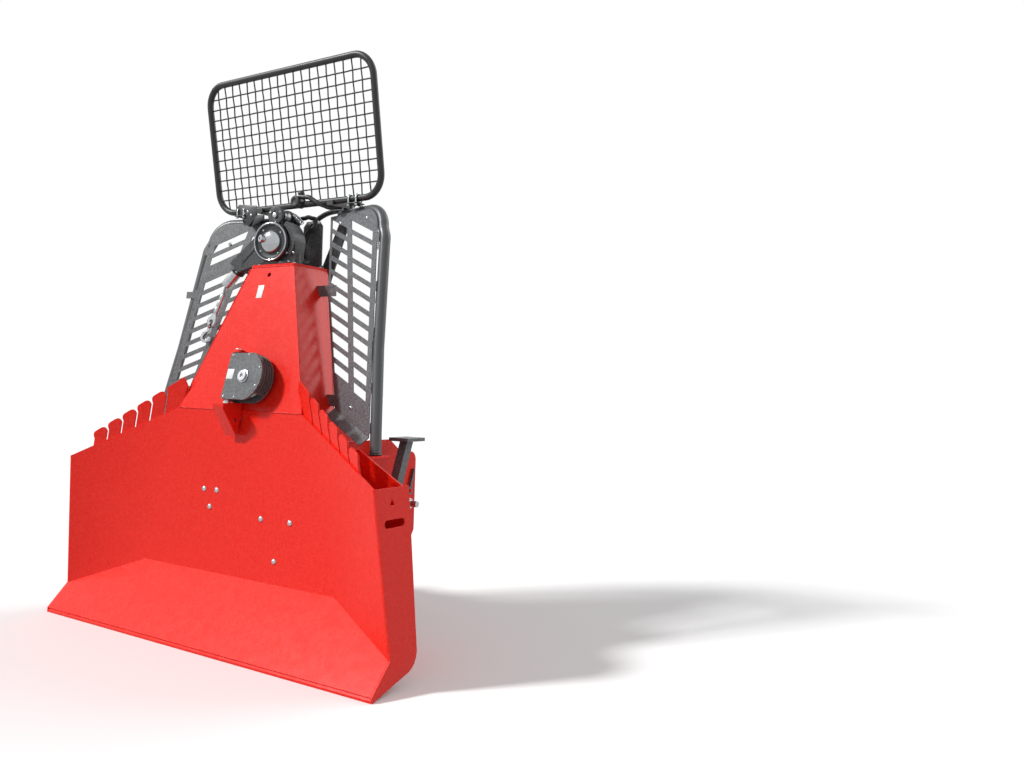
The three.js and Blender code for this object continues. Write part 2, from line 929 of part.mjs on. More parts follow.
function makeTube(x, y0, y1, z0, z1, thick) {
  const outer = block(-x, x, y0, y1, z0, z1);
  const inner = block(-x - overrun, x + overrun, y0 + thick, y1 - thick, z0 + thick, z1 - thick);
  return cut(outer, inner);
}

function makeTopLinkBracket() {
  const beamRear = housing.frontY + housing.cover + upperBeam.gap;
  const z = upperBeam.top + seat;
  const outline = new THREE.Shape();
  outline.moveTo(beamRear, z);
  outline.lineTo(beamRear + upperBeam.deep, z);
  outline.lineTo(topLink.y + topLink.radius, topLink.z);
  outline.absarc(topLink.y, topLink.z, topLink.radius, 0, Math.PI);
  outline.lineTo(topLink.braceY, blade.topZ);
  outline.lineTo(topLink.braceY - topLink.radius, z);
  const line = coverLine();
  const slope = vec(0, line[2].x - line[1].x, line[2].y - line[1].y);
  const out = vec(0, 0, 0).crossVectors(slope, X).normalize();
  if (out.y < 0) {
    out.negate();
  }
  const onSlope = vec(0, line[1].x, line[1].y).addScaledVector(out, housing.cover + seat);
  const ears = [1, -1].map((side) => {
    const x = side > 0 ? topLink.earX : -topLink.earX - topLink.earThick;
    return slabX(outline, x, topLink.earThick);
  });
  const across = topLink.earX + topLink.earThick + topLink.footHalf / 2;
  const foot = block(-across, across, beamRear, beamRear + upperBeam.deep, z, z + topLink.base);
  let body = join(ears[0], ears[1], foot);
  body = trim(body, onSlope, out.clone().negate());
  body = trim(body, vec(0, housing.frontY + housing.cover + seat * 2, 0), vec(0, -1, 0));
  return body;
}

function makeTopLinkEars() {
  const hole = rod(
    vec(-topLink.pinHalf, topLink.y, topLink.z),
    vec(topLink.pinHalf, topLink.y, topLink.z),
    topLink.pinRadius + seat,
  );
  return cut(makeTopLinkBracket(), hole);
}

function makeTopLinkPin() {
  const end = topLink.pinHalf;
  const shaft = rod(vec(-end, topLink.y, topLink.z), vec(end, topLink.y, topLink.z), topLink.pinRadius);
  const headX = end - topLink.earThick / 2;
  const knob = rod(vec(headX, topLink.y, topLink.z), vec(end, topLink.y, topLink.z), topLink.pinRadius * 1.7);
  return join(shaft, knob);
}

function makeLowerPin() {
  const at = (x) => vec(x, lowerPin.y, lowerPin.z);
  const shaft = rod(at(lowerPin.inner), at(lowerPin.outer), lowerPin.radius);
  const outside = hitch.x + hitch.sheet + seat;
  const collar = rod(at(outside), at(outside + lowerPin.collarThick), lowerPin.collar);
  return join(shaft, collar);
}

// Shields: a slotted panel in a bent tube, leaning back along the tower

const shieldU = vec(Math.cos(rad(shield.yaw)), -Math.sin(rad(shield.yaw)), 0);
const shieldN = vec(
  -Math.sin(rad(shield.yaw)) * Math.cos(rad(shield.lean)),
  -Math.cos(rad(shield.yaw)) * Math.cos(rad(shield.lean)),
  Math.sin(rad(shield.lean)),
);
const shieldW = vec(0, 0, 0).crossVectors(shieldN, shieldU).normalize();
const shieldFoot = vec(shield.footX, shield.footY, shield.footZ);

function onShield(u, w, n = 0) {
  return shieldFoot.clone().addScaledVector(shieldU, u).addScaledVector(shieldW, w).addScaledVector(shieldN, n);
}

// The panel's inner edge, its centre bar and its outer edge, each at a height in its plane
function shieldInner(w) {
  if (w < shield.kneeW) {
    return (shield.kneeU * (w - shield.innerRise)) / (shield.kneeW - shield.innerRise);
  }
  const share = (w - shield.kneeW) / (shield.height - shield.kneeW);
  return shield.kneeU + (shield.peakU - shield.kneeU) * share;
}

function shieldBar(w) {
  return shield.barU + shield.barLean * (shield.height - w);
}

function shieldOuter(w) {
  const share = (w + shield.outerDrop) / (shield.height - shield.corner + shield.outerDrop);
  return shield.outerU + (shield.cornerU - shield.outerU) * share;
}

// The middle of the tube's straight run down the outer edge
function tubeAt(w) {
  const shoulderW = shield.height - tube.shoulderDrop;
  if (w < tube.waistW) {
    const share = (w - tube.footW) / (tube.waistW - tube.footW);
    return tube.footU + (tube.waistU - tube.footU) * share;
  }
  return tube.waistU + ((tube.shoulderU - tube.waistU) * (w - tube.waistW)) / (shoulderW - tube.waistW);
}

// A slot between two sides, under a line that falls outward from a height at the centre bar
function shieldSlot(top, left, right) {
  const corners = [
    [left, 0],
    [right, 0],
    [right, shield.slotTall],
    [left, shield.slotTall],
  ];
  const from = shieldBar(top) + shield.barWide;
  const points = corners.map(([side, drop]) => {
    let w = top;
    corners.forEach(() => {
      w = top - drop - shield.slotFall * (side(w) - from);
    });
    return pt(side(w), w);
  });
  return new THREE.Path(points);
}

function shieldTabs(outline) {
  for (const share of [-0.029, 0.148, 0.399, 0.616, 0.853]) {
    const low = shield.height * share - shield.tabTall / 2;
    const high = low + shield.tabTall;
    outline.lineTo(shieldOuter(low), low);
    outline.lineTo(tubeAt(low) - shield.tabShort, low);
    outline.lineTo(tubeAt(high) - shield.tabShort, high);
    outline.lineTo(shieldOuter(high), high);
  }
}

// The fold along the foot, out towards the load and down
function makeShieldLip() {
  const start = onShield(0, shield.innerRise, shield.thick);
  const fold = onShield(shield.outerU, -shield.outerDrop, shield.thick).sub(start);
  const length = fold.length();
  fold.normalize();
  const down = vec(0, 0, 0).crossVectors(fold, shieldN);
  const hang = shieldN.clone().multiplyScalar(shield.lipOut).addScaledVector(down, shield.lipDown);
  const depth = hang.length();
  hang.normalize();
  const root = -shield.thick / 2;
  const outline = [pt(0, root), pt(length, root), pt(length, depth), pt(0, depth)];
  const lip = extruded(outline, shield.thick, frameAt(start, fold, hang));
  return trim(lip, vec(blade.topHalf + seat, 0, 0), X.clone().negate());
}

// A flat bar from the tower's side to the panel
function makeShieldTie(z) {
  const w = (z - shield.footZ) / shieldW.z;
  const at = onShield(shieldInner(w), w);
  const bar = block(
    tower.topHalf,
    at.x + shield.tieTall,
    at.y - shield.thick * 3,
    at.y - shield.thick,
    z - shield.tieTall / 2,
    z + shield.tieTall / 2,
  );
  return trim(bar, towerSidePoint().addScaledVector(towerSide, seat), towerSide.clone().negate());
}

// The left panel has a bare place instead of one slot, and a lug that sticks out past the tube
function makeShieldPanel(isLeft) {
  const outline = new THREE.Shape();
  outline.moveTo(0, shield.innerRise);
  outline.lineTo(shield.outerU, -shield.outerDrop);
  shieldTabs(outline);
  outline.absarc(shield.cornerU - shield.corner, shield.height - shield.corner, shield.corner, 0, Math.PI / 2);
  outline.lineTo(shield.peakU, shield.height);
  outline.lineTo(shield.kneeU, shield.kneeW);
  const barOuter = (w) => shieldBar(w) + shield.barWide;
  const edgeInner = (w) => shieldInner(w) + shield.innerEdge;
  const edgeOuter = (w) => shieldOuter(w) - shield.outerEdge;
  const pitch = (shield.height - shield.slotTop - shield.slotLow) / (shield.slotRows - 1);
  for (let row = 0; row < shield.slotRows; row += 1) {
    const top = shield.height - shield.slotTop - pitch * row;
    if (!isLeft || row !== shield.bareRow) {
      outline.holes.push(shieldSlot(top, barOuter, edgeOuter));
    }
    if (row < shield.slotRows - 1) {
      outline.holes.push(shieldSlot(top - shield.innerStep, edgeInner, shieldBar));
    }
  }
  const panel = extruded(outline, shield.thick, frameAt(shieldFoot, shieldU, shieldW));
  const lug = extruded(
    [
      pt(tubeAt(shield.lugW) - shield.outerEdge, shield.lugW - shield.lugHalf),
      pt(shield.lugU, shield.lugW - shield.lugHalf),
      pt(shield.lugU, shield.lugW + shield.lugHalf),
      pt(tubeAt(shield.lugW) - shield.outerEdge, shield.lugW + shield.lugHalf),
    ],
    shield.thick,
    frameAt(shieldFoot, shieldU, shieldW),
  );
  const ties = [shield.tieLowZ, shield.tieHighZ].map(makeShieldTie);
  const body = join(panel, makeShieldLip(), ...ties);
  return isLeft ? join(body, lug) : body;
}

function makeShieldTube() {
  const behind = -tube.radius - seat;
  const centre = pt(shield.cornerU - shield.corner, shield.height - shield.corner);
  const bend = [90, 70, 50, 30, 10].map((angle) => pt(
    centre.x + Math.cos(rad(angle)) * tube.arc,
    centre.y + Math.sin(rad(angle)) * tube.arc,
  ));
  const route = [
    pt(tube.innerU, shield.height + tube.top),
    ...bend,
    pt(tube.shoulderU, shield.height - tube.shoulderDrop),
    pt(tube.waistU, tube.waistW),
    pt(tube.footU, tube.footW),
  ];
  const points = route.map((p) => onShield(p.x, p.y, behind));
  const body = solid(mitredTube(points, tube.radius, tube.sides, shieldN, false));
  return trim(body, vec(0, 0, shelf.z + shelf.thick + seat), vec(0, 0, -1));
}

// Guard net

const netUp = vec(0, -Math.sin(rad(net.lean)), Math.cos(rad(net.lean)));
const netFrame = frameAt(vec(0, net.footY, net.footZ), X, netUp);

function roundedRect(half, tall, low, corner) {
  const shape = new THREE.Shape();
  shape.absarc(half - corner, low + corner, corner, -Math.PI / 2, 0);
  shape.absarc(half - corner, tall - corner, corner, 0, Math.PI / 2);
  shape.absarc(-half + corner, tall - corner, corner, Math.PI / 2, Math.PI);
  shape.absarc(-half + corner, low + corner, corner, Math.PI, Math.PI * 1.5);
  return shape;
}

function makeNetFrame() {
  const outline = roundedRect(net.half, net.tall, 0, net.corner).getPoints(3);
  const loop = new THREE.CurvePath();
  const points = outline.map((p) => vec(p.x, p.y, 0));
  for (let i = 0; i < points.length; i += 1) {
    const next = points[(i + 1) % points.length];
    if (points[i].distanceTo(next) > weld) {
      loop.add(new THREE.LineCurve3(points[i], next));
    }
  }
  const ringPoints = loop.curves.map((curve) => curve.v1);
  const body = mitredTube(ringPoints, net.tube, net.sides, Z, true);
  const frameBody = solid(body.applyMatrix4(netFrame));
  const clamps = [1, -1].map(makeNetClamp);
  return join(frameBody, ...clamps);
}

// A tube through the corners of a flat line, mitred at each corner: a loop, or closed at its ends
function mitredTube(points, radius, sides, normal, isLoop) {
  const positions = [];
  const index = [];
  const count = points.length;
  points.forEach((point, i) => {
    const before = points[(i + count - 1) % count];
    const after = points[(i + 1) % count];
    const inDir = point.clone().sub(before).normalize();
    const outDir = after.clone().sub(point).normalize();
    if (!isLoop && i === 0) {
      inDir.copy(outDir);
    }
    if (!isLoop && i === count - 1) {
      outDir.copy(inDir);
    }
    const along = inDir.clone().add(outDir).normalize();
    const side = vec(0, 0, 0).crossVectors(along, normal).normalize();
    const stretch = 1 / along.dot(inDir);
    for (let k = 0; k < sides; k += 1) {
      const angle = (Math.PI * 2 * (k + 0.5)) / sides;
      const p = point.clone();
      p.addScaledVector(side, Math.cos(angle) * radius * stretch);
      p.addScaledVector(normal, Math.sin(angle) * radius);
      positions.push(p.x, p.y, p.z);
    }
  });
  for (let i = 0; i < (isLoop ? count : count - 1); i += 1) {
    for (let k = 0; k < sides; k += 1) {
      const a = i * sides + k;
      const b = i * sides + ((k + 1) % sides);
      const c = ((i + 1) % count) * sides + k;
      const d = ((i + 1) % count) * sides + ((k + 1) % sides);
      index.push(a, b, c, b, d, c);
    }
  }
  const last = (count - 1) * sides;
  for (let k = 1; !isLoop && k < sides - 1; k += 1) {
    index.push(0, k + 1, k, last, last + k, last + k + 1);
  }
  const geometry = new THREE.BufferGeometry();
  geometry.setAttribute('position', new THREE.Float32BufferAttribute(positions, 3));
  geometry.setIndex(index);
  return geometry;
}

function makeNetClamp(side) {
  const x = side * net.clampX;
  const w = shieldTubeTopAt(net.clampX);
  const low = w.z + tube.radius + seat;
  const plate = extruded(
    [
      pt(w.y - net.clampHalf, low),
      pt(w.y + net.clampHalf, low),
      pt(net.footY + net.clampHalf / 2, net.footZ),
      pt(net.footY - net.clampHalf / 2, net.footZ),
    ],
    net.clampDeep,
    frameAt(vec(x - net.clampDeep / 2, 0, 0), Y, Z),
  );
  return plate;
}

// The middle of the shield's top tube at a distance from the centre plane
function shieldTubeTopAt(x) {
  const behind = -tube.radius - seat;
  const start = onShield(tube.innerU, shield.height + tube.top, behind);
  const end = onShield(shield.cornerU - shield.corner, shield.height + tube.top, behind);
  const share = (x - start.x) / (end.x - start.x);
  return start.lerp(end, share);
}

function makeNetMesh() {
  const inset = net.tube + seat;
  const half = net.half - inset;
  const top = net.tall - inset;
  const mesh = solid(wireGrid(-half, half, net.columns, inset, top, net.rows, net.wire, net.slab));
  const mask = new THREE.ExtrudeGeometry(roundedRect(half, top, inset, net.corner - inset), {
    depth: net.slab * 2,
    bevelEnabled: false,
    curveSegments: 3,
  });
  const rounded = mesh.intersect(solid(mask.translate(0, 0, -net.slab)));
  return solid(geometryOf(rounded).applyMatrix4(netFrame));
}

// Flat welded mesh: each cell of a fine grid is wire or gap, and a gap takes no faces
function wireGrid(x0, x1, columns, y0, y1, rows, wire, deep) {
  const lines = (from, to, count) => {
    const all = [];
    for (let i = 0; i <= count; i += 1) {
      const middle = from + ((to - from) * i) / count;
      all.push(middle - wire / 2, middle + wire / 2);
    }
    return all;
  };
  const xs = lines(x0, x1, columns);
  const ys = lines(y0, y1, rows);
  const isWire = (i, j) => {
    const inside = i >= 0 && j >= 0 && i < xs.length - 1 && j < ys.length - 1;
    return inside && (i % 2 === 0 || j % 2 === 0);
  };
  const positions = [];
  for (const z of [-deep / 2, deep / 2]) {
    for (const y of ys) {
      xs.forEach((x) => positions.push(x, y, z));
    }
  }
  const low = (i, j) => j * xs.length + i;
  const high = (i, j) => low(i, j) + xs.length * ys.length;
  const index = [];
  const quad = (a, b, c, d) => index.push(a, b, c, a, c, d);
  for (let j = 0; j < ys.length - 1; j += 1) {
    for (let i = 0; i < xs.length - 1; i += 1) {
      if (isWire(i, j)) {
        quad(high(i, j), high(i + 1, j), high(i + 1, j + 1), high(i, j + 1));
        quad(low(i, j), low(i, j + 1), low(i + 1, j + 1), low(i + 1, j));
        const sides = [
          [i, j - 1, i, j, i + 1, j],
          [i + 1, j, i + 1, j, i + 1, j + 1],
          [i, j + 1, i + 1, j + 1, i, j + 1],
          [i - 1, j, i, j + 1, i, j],
        ];
        for (const [ni, nj, ai, aj, bi, bj] of sides) {
          if (!isWire(ni, nj)) {
            quad(low(ai, aj), low(bi, bj), high(bi, bj), high(ai, aj));
          }
        }
      }
    }
  }
  const geometry = new THREE.BufferGeometry();
  geometry.setAttribute('position', new THREE.Float32BufferAttribute(positions, 3));
  geometry.setIndex(index);
  return geometry;
}

function makeNetSupport() {
  const outline = [
    pt(support.footHalf, support.footZ),
    pt(support.armOuter, support.armZ),
    pt(support.armOuter, support.crownZ),
    pt(support.armInner, support.crownZ),
    pt(support.armInner, support.armZ + support.lugHalf),
    pt(support.rootHalf, support.rootZ),
  ];
  const whole = [...outline, ...outline.map((p) => pt(-p.x, p.y)).reverse()];
  const plate = slabY(whole, support.y, support.thick);
  const middle = (support.armInner + support.armOuter) / 2;
  const lugs = [1, -1].map((side) => {
    const x = side * middle;
    return block(
      x - support.lugHalf,
      x + support.lugHalf,
      support.lugRear,
      support.y + overrun,
      net.footZ - support.lugDrop,
      net.footZ,
    );
  });
  const cradle = rod(vec(-reach / 4, net.footY, net.footZ), vec(reach / 4, net.footY, net.footZ), net.tube + play);
  const feet = [1, -1].map((side) => makeSupportFoot(side));
  return cut(join(plate, ...lugs, ...feet), cradle);
}

// A pad between the support plate and the cover that it is bolted to
function makeSupportFoot(side) {
  const line = coverLine();
  const z = support.footZ + support.lugHalf;
  const width = support.lugHalf;
  const x = side * support.rootHalf;
  const pad = block(x - width, x + width, line[3].x - support.lugDrop * 2, support.y + overrun, z - width, z + width);
  const slope = vec(0, line[3].x - line[2].x, line[3].y - line[2].y);
  const out = vec(0, 0, 0).crossVectors(slope, X).normalize();
  if (out.y < 0) {
    out.negate();
  }
  const onCover = vec(0, line[3].x, line[3].y).addScaledVector(out, housing.cover + seat);
  return trim(pad, onCover, out.clone().negate());
}

// Upper pulley head: u points to the rope outlet, v along the sheave's axle, w up

const capTop = tower.topZ + seat + tower.capThick;
const headOrigin = vec(0, swivel.y, capTop + seat);
const headU = vec(Math.cos(rad(swivel.parked)), Math.sin(rad(swivel.parked)), 0);
const headV = vec(0, 0, 0).crossVectors(Z, headU).normalize();

function onHead(u, v, w) {
  return headOrigin.clone().addScaledVector(headU, u).addScaledVector(headV, v).addScaledVector(Z, w);
}

// Plates in the plane of the rope: outline in u and w, from v0 to v1
function headSlab(outline, v0, v1) {
  return extruded(outline, v1 - v0, frameAt(onHead(0, v1, 0), headU, Z));
}

function headRod(u, w, v0, v1, radius, sides = facets.round) {
  return rod(onHead(u, v0, w), onHead(u, v1, w), radius, sides);
}

function uprightFrame(u, v, w) {
  return new THREE.Matrix4().makeTranslation(onHead(u, v, w));
}

function ringProfile(inner, outer, low, high) {
  return [pt(inner, low), pt(outer, low), pt(outer, high), pt(inner, high), pt(inner, low)];
}

const feedU = sheave.pitch - (sheave.pitch - head.feedU);
const feedW = sheave.height + Math.sqrt(feed.lift ** 2 - (sheave.pitch - head.feedU) ** 2);
const ropeSide = vec(Math.sin(rad(arm.angle)), Math.cos(rad(arm.angle)), 0);
const ropeDir = vec(Math.cos(rad(arm.angle)), -Math.sin(rad(arm.angle)), 0);

// A point in the rope's plane: along the rope from the sheave, and off to the rope's outer side
function onRope(along, off) {
  const radius = sheave.pitch + off;
  const u = sheave.pitch + ropeSide.x * radius + ropeDir.x * along;
  const w = sheave.height + ropeSide.y * radius + ropeDir.y * along;
  return pt(u, w);
}

function makeSwivelFlange() {
  const low = 0;
  const high = swivel.flangeThick - seat;
  const chamfer = swivel.flangeThick / 4;
  const profile = [
    pt(swivel.bore, low),
    pt(swivel.flange, low),
    pt(swivel.flange, high - chamfer),
    pt(swivel.flange - chamfer, high),
    pt(swivel.bore, high),
    pt(swivel.bore, low),
  ];
  return turned(profile, uprightFrame(0, 0, 0), facets.wheel);
}

function makeHeadHousing() {
  const base = swivel.flangeThick;
  const disc = turned(ringProfile(swivel.bore / 2, head.base, base, base + head.baseThick), uprightFrame(0, 0, 0), facets.wheel);
  const foot = base + head.baseThick - overrun / 2;
  const cheek = new THREE.Shape();
  cheek.moveTo(-swivel.bore, foot);
  cheek.lineTo(swivel.bore * 0.7, foot);
  cheek.absarc(sheave.pitch, sheave.height, head.cheek, rad(-70), rad(78), false);
  cheek.absarc(feedU, feedW, feed.axle * 2.4, 0, Math.PI, false);
  cheek.absarc(sheave.pitch, sheave.height, head.cheek, rad(118), rad(190), false);
  cheek.holes.push(circle(sheave.pitch, sheave.height, sheave.axle + seat));
  cheek.holes.push(circle(feedU, feedW, feed.axle + seat));
  const cheeks = [1, -1].map((side) => {
    const v0 = side > 0 ? head.cheekInner : -head.cheekInner - head.cheekThick;
    return headSlab(cheek, v0, v0 + head.cheekThick);
  });
  const spine = new THREE.Shape();
  const from = rad(head.spineFrom);
  const to = rad(head.spineTo);
  spine.absarc(sheave.pitch, sheave.height, head.spineOuter, from, to, false);
  spine.absarc(sheave.pitch, sheave.height, head.spineInner, to, from, true);
  const band = headSlab(spine, -head.spineHalf, head.spineHalf);
  const legs = headSlab(
    [
      pt(-head.base * 0.82, base + head.baseThick / 2),
      pt(-swivel.bore * 0.6, base + head.baseThick / 2),
      pt(-swivel.bore * 0.6, sheave.height),
      pt(-head.base * 0.82, sheave.height),
    ],
    -head.cheekInner - head.cheekThick,
    head.cheekInner + head.cheekThick,
  );
  const shaft = turned(
    [pt(0, 0), pt(swivel.bore / 2, 0), pt(swivel.bore / 2, sheave.height), pt(0, sheave.height)],
    uprightFrame(0, 0, 0),
  );
  const spin = headRod(sheave.pitch, sheave.height, -head.cheekInner, head.cheekInner, sheave.rim + sheave.hub / 10, facets.wheel);
  const legsOpen = cut(legs, spin, shaft);
  return join(disc, ...cheeks, band, legsOpen);
}

function makeSheave() {
  const half = sheave.wide / 2;
  const neck = sheave.pitch - arm.ropeRadius;
  const profile = [
    pt(sheave.bore, -half),
    pt(sheave.hub, -half),
    pt(sheave.hub, -half / 2),
    pt(neck - half / 2, -half / 2),
    pt(sheave.rim, -half),
    pt(neck, -half * 0.3),
    pt(neck, half * 0.3),
    pt(sheave.rim, half),
    pt(neck - half / 2, half / 2),
    pt(sheave.hub, half / 2),
    pt(sheave.hub, half),
    pt(sheave.bore, half),
    pt(sheave.bore, -half),
  ];
  return turned(profile, frameAt(onHead(sheave.pitch, 0, sheave.height), headU, Z), facets.wheel);
}

function makeSheaveAxle() {
  const back = -arm.plateInner - arm.plateThick - ring.web;
  const shaft = headRod(sheave.pitch, sheave.height, back, ring.back - seat, sheave.axle);
  const nut = headRod(sheave.pitch, sheave.height, back - ring.web * 2, back, sheave.axle * 1.6, 6);
  return join(shaft, nut);
}

function makeHubRing() {
  const profile = [
    pt(0, ring.back),
    pt(ring.outer - ring.web, ring.back),
    pt(ring.outer, ring.back + ring.web),
    pt(ring.outer, ring.face - ring.web),
    pt(ring.outer - ring.web, ring.face),
    pt(ring.inner, ring.face),
    pt(ring.inner - ring.web, ring.back + ring.web),
    pt(0, ring.back + ring.web),
  ];
  const frame = frameAt(onHead(sheave.pitch, 0, sheave.height), headU, Z.clone().negate());
  return turned(profile, frame, facets.wheel);
}

function makeHubCap() {
  const low = ring.back + ring.web + seat;
  const high = low + cap.thick;
  const profile = [
    pt(0, low),
    pt(cap.radius, low),
    pt(cap.radius, low + cap.ledge),
    pt(cap.radius - cap.ledge, high - cap.ledge),
    pt(cap.radius - cap.ledge * 2, high),
    pt(0, high),
  ];
  const frame = frameAt(onHead(sheave.pitch, 0, sheave.height), headU, Z.clone().negate());
  const dome = turned(profile, frame, facets.round);
  const spout = rod(
    onHead(sheave.pitch, low + cap.thick / 2, sheave.height + cap.ledge),
    onHead(sheave.pitch + cap.radius + cap.ledge, low + cap.thick / 2, sheave.height + cap.ledge),
    cap.thick / 2,
    20,
  );
  return trim(join(dome, spout), onHead(0, low, 0), headV.clone().negate());
}

function makeFeedRoller() {
  const half = feed.wide / 2;
  const profile = [
    pt(0, -half - seat),
    pt(feed.axle * 1.6, -half - seat),
    pt(feed.axle * 1.6, -half),
    pt(feed.radius, -half),
    pt(feed.radius, -half / 3),
    pt(feed.radius - arm.ropeRadius / 2, 0),
    pt(feed.radius, half / 3),
    pt(feed.radius, half),
    pt(feed.axle * 1.6, half),
    pt(feed.axle * 1.6, half + seat),
    pt(0, half + seat),
  ];
  const roller = turned(profile, frameAt(onHead(feedU, 0, feedW), headU, Z), facets.round);
  const reachV = head.cheekInner + head.cheekThick;
  return join(roller, headRod(feedU, feedW, -reachV, reachV, feed.axle, 20));
}

function makeFeedPlate() {
  const v = head.cheekInner + head.cheekThick + seat;
  const disc = headRod(feedU, feedW, v, v + head.cheekThick, feed.plate, facets.round);
  const bolt = headRod(feedU, feedW, v, v + head.cheekThick * 1.6, feed.axle * 1.3, facets.pin);
  return join(disc, bolt);
}

function makeFeedMotor() {
  const v = -head.cheekInner - head.cheekThick - seat;
  const end = v - feed.motorLength;
  const body = headRod(feedU, feedW, v, end, feed.motorRadius, facets.round);
  const flange = headRod(feedU, feedW, v, v - head.cheekThick, feed.plate, facets.round);
  const rib = headRod(feedU, feedW, v - head.cheekThick * 2.4, v - head.cheekThick * 3.6, feed.plate * 0.92, facets.round);
  const port = (du) => rod(
    onHead(feedU + du, end + head.cheekThick, feedW),
    onHead(feedU + du, end + head.cheekThick, feedW - feed.motorRadius - head.cheekThick),
    feed.axle,
    16,
  );
  return join(body, flange, rib, port(feed.axle * 1.3), port(-feed.axle * 1.3));
}

function makeOutletArm() {
  const middle = nozzleMiddle();
  const wide = arm.neck * 0.9;
  const outline = new THREE.Shape();
  const start0 = rad(90 - arm.angle);
  outline.absarc(sheave.pitch, sheave.height, arm.hub, start0, start0 + Math.PI * 1.05, false);
  const beakLow = onRope(arm.neckAt, arm.ropeRadius - wide);
  const beakHigh = onRope(arm.neckAt, arm.ropeRadius + wide);
  outline.lineTo(beakLow.x, beakLow.y);
  outline.lineTo(beakHigh.x, beakHigh.y);
  outline.holes.push(circle(sheave.pitch, sheave.height, arm.bore));
  const plates = [1, -1].map((side) => {
    const v0 = side > 0 ? arm.plateInner : -arm.plateInner - arm.plateThick;
    const v1 = v0 + arm.plateThick;
    return headSlab(outline, v0, v1);
  });
  const from = onRope(arm.collarFrom - arm.neck, arm.ropeRadius);
  const to = onRope(arm.collarTo, arm.ropeRadius);
  const bridgeHalf = arm.plateInner + arm.plateThick;
  const bridge = headSlab(
    [
      onRope(arm.neckAt - arm.neck, arm.ropeRadius + arm.neck * 0.9),
      onRope(arm.neckAt, arm.ropeRadius + arm.neck * 0.9),
      onRope(arm.neckAt, arm.ropeRadius - arm.neck * 0.9),
      onRope(arm.neckAt - arm.neck, arm.ropeRadius - arm.neck * 0.9),
    ],
    -bridgeHalf,
    bridgeHalf,
  );
  const collar = rod(onHead(from.x, 0, from.y), onHead(to.x, 0, to.y), arm.collar, facets.round);
  const start = onRope(0, arm.ropeRadius);
  const end = onRope(arm.collarTo + nozzle.length, arm.ropeRadius);
  const room = rod(onHead(start.x, 0, start.y), onHead(end.x, 0, end.y), nozzle.bore * 1.6, facets.pin);
  return cut(join(...plates, bridge, collar), room, nozzleSocket(middle));
}

function nozzleMiddle() {
  const start = onRope(arm.collarTo, arm.ropeRadius);
  return onHead(start.x, 0, start.y);
}

function nozzleSocket(start) {
  const along = headU.clone().multiplyScalar(ropeDir.x).addScaledVector(Z, ropeDir.y);
  const end = start.clone().addScaledVector(along, nozzle.length);
  return rod(start, end, nozzle.radius + nozzle.chamfer, facets.round);
}

function ropeFrame(distance) {
  const at = onRope(distance, arm.ropeRadius);
  const along = headU.clone().multiplyScalar(ropeDir.x).addScaledVector(Z, ropeDir.y);
  const across = vec(0, 0, 0).crossVectors(headV, along).normalize();
  return frameAt(onHead(at.x, 0, at.y), across, headV.clone().negate()).multiply(flipIfNeeded(across, along));
}

// Keeps the frame's third axis along the rope
function flipIfNeeded(across, along) {
  const third = vec(0, 0, 0).crossVectors(across, headV.clone().negate());
  const turn = third.dot(along) > 0 ? 0 : Math.PI;
  return new THREE.Matrix4().makeRotationX(turn);
}

function makeNozzle() {
  const length = nozzle.length;
  const profile = [
    pt(nozzle.bore, seat),
    pt(nozzle.radius - nozzle.chamfer, seat),
    pt(nozzle.radius, seat + nozzle.chamfer),
    pt(nozzle.radius, length - nozzle.chamfer),
    pt(nozzle.radius - nozzle.chamfer, length),
    pt(nozzle.flare, length),
    pt(nozzle.bore, length - nozzle.flareLength),
    pt(nozzle.bore, seat),
  ];
  return turned(profile, ropeFrame(arm.collarTo), facets.round);
}

// Rope end: a ball at the swing point, a stiff bend of rope, ferrule, thimble and hook

const swing = onRope(arm.collarTo + nozzle.length - nozzle.flareLength, arm.ropeRadius);

function ropePoint(u, w) {
  return onHead(swing.x + u, 0, swing.y + w);
}

function makeRopeEnd() {
  const start = ropeDir.clone().multiplyScalar(nozzle.flareLength);
  const points = [
    ropePoint(0, 0),
    ropePoint(start.x, start.y),
    ropePoint(ropeEnd.bendU, ropeEnd.bendW),
    ropePoint(ropeEnd.endU, ropeEnd.endW),
  ];
  const ball = new THREE.SphereGeometry(ropeEnd.ball, facets.pin, facets.rope);
  const centre = ropePoint(0, 0);
  ball.translate(centre.x, centre.y, centre.z);
  return join(pipe(points, ropeEnd.radius, facets.rope / 2, facets.rope), solid(ball));
}

// It leans out a little, past the shield
const hangAlong = headU.clone().multiplyScalar(ropeEnd.dirU);
hangAlong.addScaledVector(headV, ropeEnd.dirV).addScaledVector(Z, ropeEnd.dirW).normalize();
const hangSide = vec(0, 0, 0).crossVectors(headV, hangAlong).normalize();
const hangOut = vec(0, 0, 0).crossVectors(hangAlong, hangSide);

function hangPoint(distance) {
  return ropePoint(ropeEnd.endU, ropeEnd.endW).addScaledVector(hangAlong, distance);
}

function hangFrame(distance) {
  return frameAt(hangPoint(distance), hangAlong, hangSide);
}

function makeFerrule() {
  const end = ropeEnd.ferruleLength;
  const chamfer = ropeEnd.ferrule / 3;
  const profile = [
    pt(0, play),
    pt(ropeEnd.ferrule - chamfer, play),
    pt(ropeEnd.ferrule, play + chamfer),
    pt(ropeEnd.ferrule, end - chamfer),
    pt(ropeEnd.ferrule - chamfer, end),
    pt(0, end),
  ];
  return turned(profile, frameAt(hangPoint(0), hangSide, hangOut), facets.pin);
}

